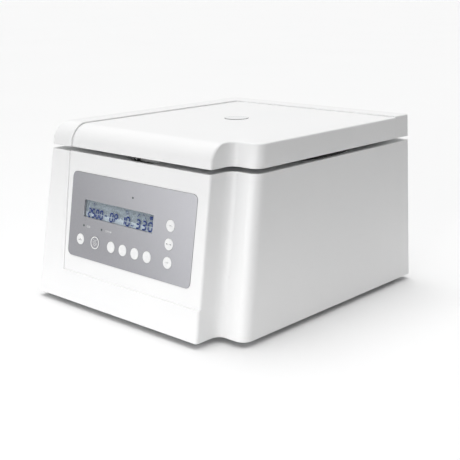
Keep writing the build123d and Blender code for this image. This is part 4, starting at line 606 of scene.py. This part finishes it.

# %% [markdown]
# ## Dress the engineering model
# Each solid already names the slot its finish belongs in, so the finishes are handed out by
# that name. Nothing about the solids themselves changes. The striker is given the black
# plastic finish, so that it stays dark and nothing glints in the latch's slot.

# %% Hand out the finishes
BLACKENED = ("lid_striker",)
dressed = 0
for name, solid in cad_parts.items():
    for place in solid.material_slots:
        slot_name = place.material.name.split(".")[0]
        if name in BLACKENED:
            slot_name = "black_plastic"
        if slot_name in finishes:
            place.material = finishes[slot_name]
            dressed += 1
        elif place.material not in finishes.values():
            print("no finish for", name, slot_name)
print("dressed", dressed, "slots on", len(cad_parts), "nodes")

# %% [markdown]
# ## Straight sides for the lid
# Between its sections the lid of the engineering model narrows and swells by up to three
# millimetres, because a smooth loft overshoots. The real mould is straight up to its rounding.
# So a copy of that mesh is corrected and stands for the solid: each point of the outer skin
# moves level, to where the lid's plan says. All that is inside the lid stays as it is. The plan
# has six corners, because the lid is narrower over the nose than behind the shoulder.

# %% Sizes of the lid, in millimetres
HALF_W, HALF_D = 185.0, 212.5  # of the housing at its foot
FOOT_H, LID_Z = 8.0, 222.2  # lower edges of the housing and of the lid
LID_T, RIM_T = 30.4, 32.1  # up to the panel and up to the rim
STRAIGHT_H = 9.0  # from the lid's lower edge to where its rounding starts
LEFT_DRAFT, RIGHT_DRAFT = tan(radians(2.04)), tan(radians(1.93))
NOSE_DRAFT, BACK_DRAFT = tan(radians(1.38)), tan(radians(2.04))
SHOULDER_W, SHOULDER_D = 44.4, 40.3  # the corner that the nose leaves free
BAND_STEP, SIDE_STEP = 2.2, 0.2  # how far the rim stands proud of the front and of the sides
FRONT_ROUND, LEFT_ROUND, CREST_R = 21.0, 9.0, 2.0
CORNER_RADII = (4.0, 4.0, 12.0, 14.0, 5.5, 20.0)
ARC_STEPS = 20
SHORTEST_SQUARED = 1e-12
print("lid:", 2 * HALF_W, "mm wide,", LID_T, "mm thick, and", RIM_T, "mm at its rim")

# %% Plan of the lid at a height
def lid_plan(z, rim, inset):
    """Points round the lid at a height, in millimetres, every wall moved in by an inset."""
    thickness, step = (RIM_T, 0) if rim else (LID_T, 1)
    rise = z - LID_Z
    climb = min(max((rise - STRAIGHT_H) / (thickness - STRAIGHT_H), 0), 1)
    roll = 1 - sqrt(1 - climb**2)
    reach = min(max(rise - thickness + CREST_R, 0), CREST_R)
    crest = CREST_R - sqrt(CREST_R**2 - reach**2)
    up = z - FOOT_H
    left = -HALF_W + up * LEFT_DRAFT + SIDE_STEP * step + LEFT_ROUND * roll + inset
    right = HALF_W - up * RIGHT_DRAFT - SIDE_STEP * step - crest - inset
    nose = HALF_W - SHOULDER_W - up * NOSE_DRAFT - crest - inset
    front = -HALF_D + up * tan(FRONT_LEAN) + BAND_STEP * step + FRONT_ROUND * roll + inset
    shoulder = -HALF_D + SHOULDER_D + up * tan(FRONT_LEAN) + crest + inset
    back = HALF_D - up * BACK_DRAFT - SIDE_STEP * step - crest - inset
    corners = [(left, front), (nose, front), (nose, shoulder), (right, shoulder), (right, back),
               (left, back)]
    corners = [Vector(corner) for corner in corners]
    points = []
    for index, (corner, radius) in enumerate(zip(corners, CORNER_RADII)):
        before = (corners[index - 1] - corner).normalized()
        after = (corners[(index + 1) % len(corners)] - corner).normalized()
        centre = corner + (before + after) * radius
        for count in range(ARC_STEPS + 1):
            angle = pi / 2 * count / ARC_STEPS
            points.append(centre - (after * cos(angle) + before * sin(angle)) * radius)
    return points


def nearest(spot, points):
    """The nearest place on a closed outline to a spot, and which way is out there."""
    best = None
    for index in range(len(points)):
        run = points[index] - points[index - 1]
        if run.length_squared > SHORTEST_SQUARED:
            share = (spot - points[index - 1]).dot(run) / run.length_squared
            place = points[index - 1] + run * min(max(share, 0), 1)
            gap = (spot - place).length_squared
            if best is None or gap < best[0]:
                best = (gap, place, Vector((run.y, -run.x)).normalized())
    return best[1], best[2]


print("plan of the lid:", len(lid_plan(LID_Z, True, 0)), "points")

# %% Tell the skin from the rest
SEAM_LOW, SEAM_HIGH = 49.4, 52.0  # from the left side, at the seam's foot and head
SEAM_FOOT, SEAM_HEAD = 219.2, 252.6  # heights of that foot and head
SEAM_W, SEAM_D = 0.9, 1.4
BACK_BAR_W = 45.0
INNER_X, INNER_FRONT, INNER_BACK = 122.0, -138.0, 158.0  # inside these is no outer skin
SKIN_FROM, SKIN_TO = -1.9, 3.4  # how far in from the plan the skin may lie
SIDEWAYS = 0.03  # least sideways part of a side's normal


def seam_x(z):
    """Left edge of the fine seam beside the rim's left bar, at a height."""
    share = min((z - SEAM_FOOT) / (SEAM_HEAD - SEAM_FOOT), 1)
    return -HALF_W + SEAM_LOW + (SEAM_HIGH - SEAM_LOW) * share


def skin_of(face):
    """For a face of the outer skin, whether it is the rim's and how deep it lies, else None."""
    x, y, z = face.center / MM
    inside = abs(x) < INNER_X and INNER_FRONT < y < INNER_BACK
    if inside or z < LID_Z + STRAIGHT_H or face.normal.xy.length < SIDEWAYS:
        return None
    rim = x < seam_x(z) or y > HALF_D - BACK_BAR_W
    in_seam = seam_x(z) < x < seam_x(z) + SEAM_W and y < 0
    place, out = nearest(Vector((x, y)), lid_plan(z, rim, 0))
    depth = (place - Vector((x, y))).dot(out)
    deepest = SKIN_TO + in_seam * SEAM_D
    if not SKIN_FROM < depth < deepest or face.normal.xy.dot(out) < SIDEWAYS:
        return None
    return rim, in_seam * SEAM_D


print("the seam runs from", round(seam_x(SEAM_FOOT), 1), "to", round(seam_x(SEAM_HEAD), 1), "mm")

# %% Correct a copy of the lid
TOP_MARGIN = 0.4  # points this near the top stay, in millimetres
LID_MERGE_BELOW, LID_SMOOTH_BELOW = 1e-6, radians(30)
deselect()
lid_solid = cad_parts["lid_shell"]
lid_piece = lid_solid.copy()
lid_piece.data = lid_solid.data.copy()
lid_piece.name = lid_piece.data.name = "lid_casing"
bpy.context.collection.objects.link(lid_piece)
lid_piece.select_set(True)
bpy.context.view_layer.objects.active = lid_piece
bpy.ops.mesh.customdata_custom_splitnormals_clear()
bpy.ops.object.mode_set(mode="EDIT")
bpy.ops.mesh.select_all(action="SELECT")
bpy.ops.mesh.remove_doubles(threshold=LID_MERGE_BELOW)
bpy.ops.object.mode_set(mode="OBJECT")
targets = {}
for face in lid_piece.data.polygons:
    skin = skin_of(face)
    if skin:
        targets.update(dict.fromkeys(face.vertices, skin))
moved = 0.0
for index, (rim, inset) in targets.items():
    point = lid_piece.data.vertices[index]
    thickness = RIM_T if rim else LID_T
    if LID_Z + STRAIGHT_H < point.co.z / MM < LID_Z + thickness - TOP_MARGIN:
        spot = Vector(point.co.xy) / MM
        place, out = nearest(spot, lid_plan(point.co.z / MM, rim, inset))
        moved = max(moved, (place - spot).length)
        point.co.x, point.co.y = place * MM
bpy.ops.object.shade_smooth_by_angle(angle=LID_SMOOTH_BELOW)
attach(lid_piece, "lid")
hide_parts("lid_shell")
print("lid: moved", len(targets), "points by up to", round(moved, 2), "mm")

# %% [markdown]
# ## Seven-segment figures
# Every figure on the display is made of the same bars, each a flat plate with a point at both
# ends, so that neighbours meet at a mitre. One bar is modelled and copied, each copy with its
# own mesh, and a figure is the list of its lit bars. The figures lean a little, as they do in
# most such cells. Text in a digital font would be quicker, but its outlines are not real bars.

# %% Model one bar
AT_SAME_PLACE, MERGE_BELOW = 1e-6, 1e-7


def thicken(height):
    """Pulls the flat mesh in edit mode up into a plate, and turns its faces outwards."""
    bpy.ops.mesh.select_all(action="SELECT")
    bpy.ops.mesh.extrude_region_move(TRANSFORM_OT_translate={"value": (0, 0, height * MM)})
    bpy.ops.mesh.select_all(action="SELECT")
    bpy.ops.mesh.remove_doubles(threshold=MERGE_BELOW)
    bpy.ops.mesh.normals_make_consistent(inside=False)
    bpy.ops.object.mode_set(mode="OBJECT")


def make_bar(name, length, width, height):
    """A flat bar along X, pointed at both ends, from z = 0 up."""
    deselect()
    bpy.ops.mesh.primitive_plane_add(size=width * MM)
    bar = bpy.context.object
    bar.name = name
    bpy.ops.object.mode_set(mode="EDIT")
    bpy.ops.mesh.select_all(action="SELECT")
    bpy.ops.transform.resize(value=((length - width) / width, 1, 1))
    reach = (length - width) / 2 * MM
    for side in (-1, 1):
        pick(bar, "VERT", lambda point: abs(point.co.x - side * reach) < AT_SAME_PLACE)
        tip = {"value": (side * width / 2 * MM, 0, 0)}
        bpy.ops.mesh.extrude_region_move(TRANSFORM_OT_translate=tip)
        bpy.ops.mesh.merge(type="CENTER")
    thicken(height)
    return bar


print("a bar is a plate with two points")

# %% Copies with their own mesh, and joining them
def copy_of(piece, x, y, turned=0.0):
    """Copies a piece, turns the copy about Z and moves it, in millimetres."""
    twin = piece.copy()
    twin.data = piece.data.copy()
    bpy.context.collection.objects.link(twin)
    twin.matrix_world = Matrix.Translation((x * MM, y * MM, 0)) @ Matrix.Rotation(turned, 4, "Z")
    return twin


def join(name, pieces):
    """Joins copies into one object that sits at the origin."""
    deselect()
    for piece in pieces:
        piece.select_set(True)
    bpy.context.view_layer.objects.active = pieces[0]
    bpy.ops.object.transform_apply(location=True, rotation=True, scale=True)
    bpy.ops.object.join()
    whole = bpy.context.object
    whole.name = whole.data.name = name
    return whole


def drop(*pieces):
    """Removes pattern pieces once their copies are made."""
    deselect()
    for piece in pieces:
        bpy.data.objects.remove(piece, do_unlink=True)


print("copies keep their own mesh")

# %% Build a figure from its bars
FIGURE_H, FIGURE_LEAN = 13.3, radians(6)
BAR_W, BAR_T, BAR_GAP = 2.15, 0.05, 0.35
LIT = {"0": "abcdef", "1": "bc", "2": "abdeg", "3": "abcdg", "5": "acdfg", "P": "abefg"}


def figure(sign, u, width):
    """The lit bars of one figure, whose middle is at u."""
    w, h = width - BAR_W, FIGURE_H - BAR_W
    seats = {
        "a": (0, h / 2), "g": (0, 0), "d": (0, -h / 2), "f": (-w / 2, h / 4),
        "b": (w / 2, h / 4), "e": (-w / 2, -h / 4), "c": (w / 2, -h / 4),
    }
    flat = make_bar("flat_bar", w - BAR_GAP, BAR_W, BAR_T)
    upright = make_bar("upright_bar", h / 2 - BAR_GAP, BAR_W, BAR_T)
    lit = []
    for bar in LIT[sign]:
        x, y = seats[bar]
        source, turned = (flat, 0.0) if bar in "agd" else (upright, pi / 2 - FIGURE_LEAN)
        lit.append(copy_of(source, u + x + y * tan(FIGURE_LEAN), y, turned))
    drop(flat, upright)
    return lit


print("figures are", FIGURE_H, "mm high")

# %% Lay out the display: each sign, its middle and its width
FIGURE_V = 130.2
DASH_L, DASH_W = 5.6, 1.5
groups = [
    ("2", -87.5, 7.4), ("5", -79.3, 7.4), ("0", -71.1, 7.4), ("0", -62.6, 7.4),
    ("0", -41.2, 7.8), ("P", -32.0, 7.8), ("1", -17.4, 8.2), ("0", -8.0, 8.6),
    ("3", 12.4, 8.8), ("3", 24.4, 8.8), ("0", 36.4, 9.0),
]
bars = [bar for sign, u, width in groups for bar in figure(sign, u, width)]
dash = make_bar("dash", DASH_L, DASH_W, BAR_T)
bars += [copy_of(dash, -53.3, 0.2), copy_of(dash, 1.0, -4.1)]
drop(dash)
figures = join("display_figures", bars)
settle(figures, on_front(0, FIGURE_V, WINDOW_FACE), figure_ink, "casing")
print("display:", len(groups), "figures,", len(figures.data.polygons), "faces")

# %% [markdown]
# ## Small signs of the display
# Above the figures the cell carries a few fixed signs: two rings, two strokes and a block. A
# ring is a circle whose edge is extruded and scaled inwards, which leaves its middle open.

# %% Model a flat ring
def make_ring(name, outer, width, height, points):
    """A flat ring from z = 0 up."""
    deselect()
    bpy.ops.mesh.primitive_circle_add(vertices=points, radius=outer * MM, fill_type="NOTHING")
    ring = bpy.context.object
    ring.name = name
    bpy.ops.object.mode_set(mode="EDIT")
    bpy.ops.mesh.select_all(action="SELECT")
    bpy.ops.mesh.extrude_edges_move(TRANSFORM_OT_translate={"value": (0, 0, 0)})
    bpy.ops.transform.resize(value=((outer - width) / outer,) * 3)
    thicken(height)
    return ring


print("rings are open in the middle")

# %% Set out the signs
SIGNS_V = 142.0
RISING, FALLING = radians(46), radians(-42)
small = make_ring("small_ring", 1.7, 0.5, BAR_T, 24)
large = make_ring("large_ring", 2.5, 0.6, BAR_T, 32)
tick = make_bar("knob", 1.9, 0.7, BAR_T)
stroke = make_bar("stroke", 6.8, 1.0, BAR_T)
short = make_bar("short_stroke", 3.2, 0.9, BAR_T)
cell = make_bar("block_cell", 6.6, 1.9, BAR_T)
signs = join("display_signs", [
    copy_of(small, -78.4, -0.2), copy_of(tick, -78.4, 2.2),
    copy_of(large, -10.3, -0.2), copy_of(tick, -11.6, 3.0),
    copy_of(stroke, 12.3, 0, RISING),
    copy_of(short, 22.0, 1.7, FALLING), copy_of(short, 26.1, -1.9, FALLING),
    copy_of(cell, 37.1, -1.0), copy_of(cell, 37.1, 1.1),
])
drop(small, large, tick, stroke, short, cell)
settle(signs, on_front(0, SIGNS_V, WINDOW_FACE), figure_ink, "casing")
print("display signs:", len(signs.data.polygons), "faces")

# %% [markdown]
# ## Marks on the keys and beside the lamps
# Plain signs only: ON and OFF on two keys, arrows on the one between, an opening sign on the
# lid key, waves in a ring on the short-run key. Lettering starts as a text object, becomes a
# mesh, and is then laid on the sloping face like every other mark.

# %% Helpers for the marks
PRINT_T = 0.03
TEXT_PER_CAPITAL = 1.4


def make_word(name, word, height, spread):
    """Plain capitals, centred on their origin, as a mesh plate."""
    deselect()
    bpy.ops.object.text_add()
    text = bpy.context.object
    text.data.body = word
    text.data.align_x, text.data.align_y = "CENTER", "CENTER"
    text.data.size = height * MM * TEXT_PER_CAPITAL
    text.data.space_character = spread
    text.data.extrude = PRINT_T / 2 * MM
    text.data.resolution_u = 3
    bpy.ops.object.convert(target="MESH")
    word_mesh = bpy.context.object
    word_mesh.name = word_mesh.data.name = name
    return word_mesh


def make_arrow(name, size):
    """A flat triangle that points up."""
    deselect()
    bpy.ops.mesh.primitive_circle_add(vertices=3, radius=size * MM, fill_type="NGON")
    arrow = bpy.context.object
    arrow.name = name
    bpy.ops.object.mode_set(mode="EDIT")
    thicken(PRINT_T)
    return arrow


print("marks are", PRINT_T, "mm thick")

# %% Model the marks of four keys
KEY_FACE = 1.0
COLUMN_U, ROW_V, KEY_PITCH = 75.2, 90.58, 24.0
RELEASE_U, PULSE_U = -100.7, -68.9
KEY_WORD_H = 1.9
ARROW_AT, TAIL_AT = 3.8, 1.9


def print_on_key(piece, u, v, body):
    """Lays a grey mark on the face of a white key."""
    settle(piece, on_front(u, v, KEY_FACE), grey_print, body)


on_word = make_word("on_mark", "- ON -", KEY_WORD_H, 1.2)
print_on_key(on_word, COLUMN_U, ROW_V + 2 * KEY_PITCH, "column_key_3")
off_word = make_word("off_mark", "- OFF -", KEY_WORD_H, 1.1)
print_on_key(off_word, COLUMN_U, ROW_V, "column_key_1")
arrow = make_arrow("arrow", 1.1)
tail = make_bar("tail", 2.6, 0.5, PRINT_T)
pair = join("arrows_mark", [
    copy_of(arrow, -ARROW_AT, 0, radians(90)), copy_of(tail, -TAIL_AT, 0),
    copy_of(arrow, ARROW_AT, 0, radians(-90)), copy_of(tail, TAIL_AT, 0),
])
print_on_key(pair, COLUMN_U, ROW_V + KEY_PITCH, "column_key_2")
foot = make_bar("foot_bar", 8.4, 0.6, PRINT_T)
opening = join("open_mark", [copy_of(foot, 0, -1.1), copy_of(arrow, 0, 0.4)])
print_on_key(opening, RELEASE_U, ROW_V, "release_key")
drop(arrow, tail, foot)
print("marks on four keys")

# %% Ring and waves of the short-run key
PULSE_R, PULSE_W = 8.8, 1.3
WAVE_R, WAVE_W, WAVE_PITCH = 1.35, 0.42, 2.28
WAVE_ROWS = ((3.2, 3), (0, 4), (-3.2, 3))
pulse_face = on_front(PULSE_U, ROW_V, KEY_FACE)
pulse_ring = make_ring("pulse_ring", PULSE_R, PULSE_W, PRINT_T, 64)
settle(pulse_ring, pulse_face, pale_print, "pulse_key")


def half_ring(name, upward):
    """Half of a small ring: one swing of a wave."""
    swing = make_ring(name, WAVE_R, WAVE_W, PRINT_T, 24)
    bpy.ops.object.mode_set(mode="EDIT")
    bpy.ops.mesh.select_all(action="SELECT")
    bpy.ops.mesh.bisect(plane_co=(0, 0, 0), plane_no=(0, upward, 0), use_fill=True, clear_inner=True)
    bpy.ops.object.mode_set(mode="OBJECT")
    return swing


crest, trough = half_ring("crest", 1), half_ring("trough", -1)
swings = []
for rise, count in WAVE_ROWS:
    for index in range(count):
        across = (index - (count - 1) / 2) * WAVE_PITCH
        swings.append(copy_of((crest, trough)[index % 2], across, rise))
drop(crest, trough)
waves = join("pulse_waves", swings)
settle(waves, pulse_face, pale_print, "pulse_key")
print("ring and waves:", len(waves.data.polygons), "faces")

# %% Words beside the lamps
LAMP_WORD_H, LAMP_WORD_SPREAD = 2.7, 1.4
LAMP_WORDS = (("lamp_on_word", "ON", -85.3, 110.3), ("lamp_open_word", "OPEN", -42.8, 110.4))
for name, word, u, v in LAMP_WORDS:
    print_of_word = make_word(name, word, LAMP_WORD_H, LAMP_WORD_SPREAD)
    settle(print_of_word, on_front(u, v, FASCIA_FACE), pale_print, "casing")
print("words beside the lamps")

# %% [markdown]
# ## Lens of the sight port
# A strobe or a glance checks the spinning rotor through the port in the lid. Its acrylic lens
# stands a little proud. It is a cylinder whose top is inset twice and lifted, and whose sharp
# edges are bevelled: flat enough to wipe clean, crowned enough to let a drop run off.

# %% Model the lens
LENS_R, LENS_FOOT, LENS_TOP = 17.5, 252.2, 253.2
LENS_BORDER, CROWN_W, CROWN_H, LENS_BEVEL = 0.5, 9, 0.1, 0.25
LOOKS_UP, SMOOTH_BELOW = 0.9, radians(35)
lens_t = (LENS_TOP - LENS_FOOT) * MM
deselect()
bpy.ops.mesh.primitive_cylinder_add(vertices=72, radius=LENS_R * MM, depth=lens_t)
port_lens = bpy.context.object
port_lens.name = "port_lens"
pick(port_lens, "FACE", lambda face: face.normal.z > LOOKS_UP)
bpy.ops.mesh.inset(thickness=LENS_BORDER * MM, depth=0)
bpy.ops.mesh.inset(thickness=CROWN_W * MM, depth=CROWN_H * MM)
bpy.ops.object.mode_set(mode="OBJECT")
soften = port_lens.modifiers.new("soften", "BEVEL")
soften.width, soften.segments, soften.limit_method = LENS_BEVEL * MM, 3, "ANGLE"
bpy.ops.object.modifier_apply(modifier="soften")
bpy.ops.object.shade_smooth_by_angle(angle=SMOOTH_BELOW)
lens_place = Matrix.Translation((0, SPIN_Y, (LENS_FOOT + LENS_TOP) / 2 * MM))
settle(port_lens, lens_place, port_lens_finish, "lid")
print("lens:", len(port_lens.data.polygons), "faces")

# %% [markdown]
# ## Floor and light
# A white table and large soft lamps are what a product studio uses. Two discs make the floor.
# The table is small and sends light back up; the sheet under it runs to the horizon and is
# only seen, so the upright sides get darker with height, as they do beside a real table. A wall far
# behind it, which lights nothing, hides the dark edge of the sky. The sky itself is brightest
# overhead, and a wide soft sun a little to the left puts the shadow on the right. Two lamps at
# the front brighten the controls and the rounded corner.

# %% Table, floor sheet and far wall
TABLE_R, SHEET_R, SHEET_DROP, WALL_R = 0.75, 900, 0.0004, 899
WALL_GLOW = 0.92


def make_floor():
    f = Finish("pale_floor", Specular_IOR_Level=0.1)
    cloud = f.noise(1.3, 3.0)
    sheet = f.mix(cloud, grey(0.93), grey(0.95))
    return f.feed(Base_Color=sheet, Roughness=0.75 + cloud * 0.1, Normal=f.bump(cloud, 0.02, 0.001))


def make_far_wall():
    f = Finish("far_wall", Specular_IOR_Level=0.0, Roughness=1.0, Emission_Strength=WALL_GLOW)
    cloud = f.noise(0.02, 2.0)
    dark = f.mix(cloud, grey(0.01), grey(0.02))
    return f.feed(Base_Color=dark, Emission_Color=f.mix(cloud, grey(0.97), grey(1.0)))


pale = make_floor()
deselect()
bpy.ops.mesh.primitive_circle_add(vertices=96, radius=TABLE_R, fill_type="NGON")
table = bpy.context.object
deselect()
bpy.ops.mesh.primitive_circle_add(vertices=96, radius=SHEET_R, fill_type="NGON",
                                  location=(0, 0, -SHEET_DROP))
sheet = bpy.context.object
deselect()
bpy.ops.mesh.primitive_uv_sphere_add(segments=64, ring_count=32, radius=WALL_R)
far_wall = bpy.context.object
bpy.ops.object.shade_smooth()
for thing, name, finish in ((table, "table", pale), (sheet, "floor_sheet", pale),
                            (far_wall, "far_wall", make_far_wall())):
    thing.name = name
    thing.data.materials.append(finish)
sheet.visible_diffuse = False
far_wall.visible_diffuse = False
far_wall.visible_shadow = False
print("table, floor sheet and far wall")

# %% Lamps
LOW_POWER, CORNER_POWER, SUN_POWER = 14.8, 8.6, 0.75
MIDDLE, ORIGIN = Vector((0, 0, 0.14)), Vector((0, 0, 0))
SUN_SPREAD = radians(35)


def add_light(kind, name, place, target, power):
    """A light that stands at a place and looks at a target."""
    light = bpy.data.lights.new(name, kind)
    light.energy = power
    holder = bpy.data.objects.new(name, light)
    bpy.context.collection.objects.link(holder)
    holder.location = place
    holder.rotation_euler = (target - Vector(place)).to_track_quat("-Z", "Y").to_euler()
    return light


low_lamp = add_light("AREA", "low_lamp", (-0.3, -2.3, 0.25), MIDDLE, LOW_POWER)
corner_lamp = add_light("AREA", "corner_lamp", (1.0, -2.2, 0.5), MIDDLE, CORNER_POWER)
for lamp, width, tall in ((low_lamp, 2.0, 0.3), (corner_lamp, 0.15, 0.8)):
    lamp.shape = "RECTANGLE"
    lamp.size, lamp.size_y = width, tall
soft_sun = add_light("SUN", "soft_sun", (-0.6, 0.2, 2.0), ORIGIN, SUN_POWER)
soft_sun.angle = SUN_SPREAD
print("two lamps and a soft sun")

# %% A sky that is brightest overhead
SKY, SKY_POWER = 1.9, 3.0
WHITE = (1, 1, 1, 1)
world = bpy.data.worlds.new("studio")
bpy.context.scene.world = world
world.use_nodes = True
sky = world.node_tree


def sky_maths(operation, first, second):
    """One Math node of the sky: a link and a constant."""
    node = sky.nodes.new("ShaderNodeMath")
    node.operation = operation
    sky.links.new(first, node.inputs[0])
    node.inputs[1].default_value = second
    return node.outputs[0]


heading = sky.nodes.new("ShaderNodeTexCoord")
height = sky.nodes.new("ShaderNodeSeparateXYZ")
sky.links.new(heading.outputs["Generated"], height.inputs["Vector"])
above_ground = sky_maths("MAXIMUM", height.outputs["Z"], 0.0)
towards_top = sky_maths("POWER", above_ground, SKY_POWER)
background = sky.nodes["Background"]
sky.links.new(sky_maths("MULTIPLY", towards_top, SKY), background.inputs["Strength"])
background.inputs["Color"].default_value = WHITE
bpy.context.scene.view_settings.view_transform = "Standard"
print("a sky of strength", SKY, "overhead")
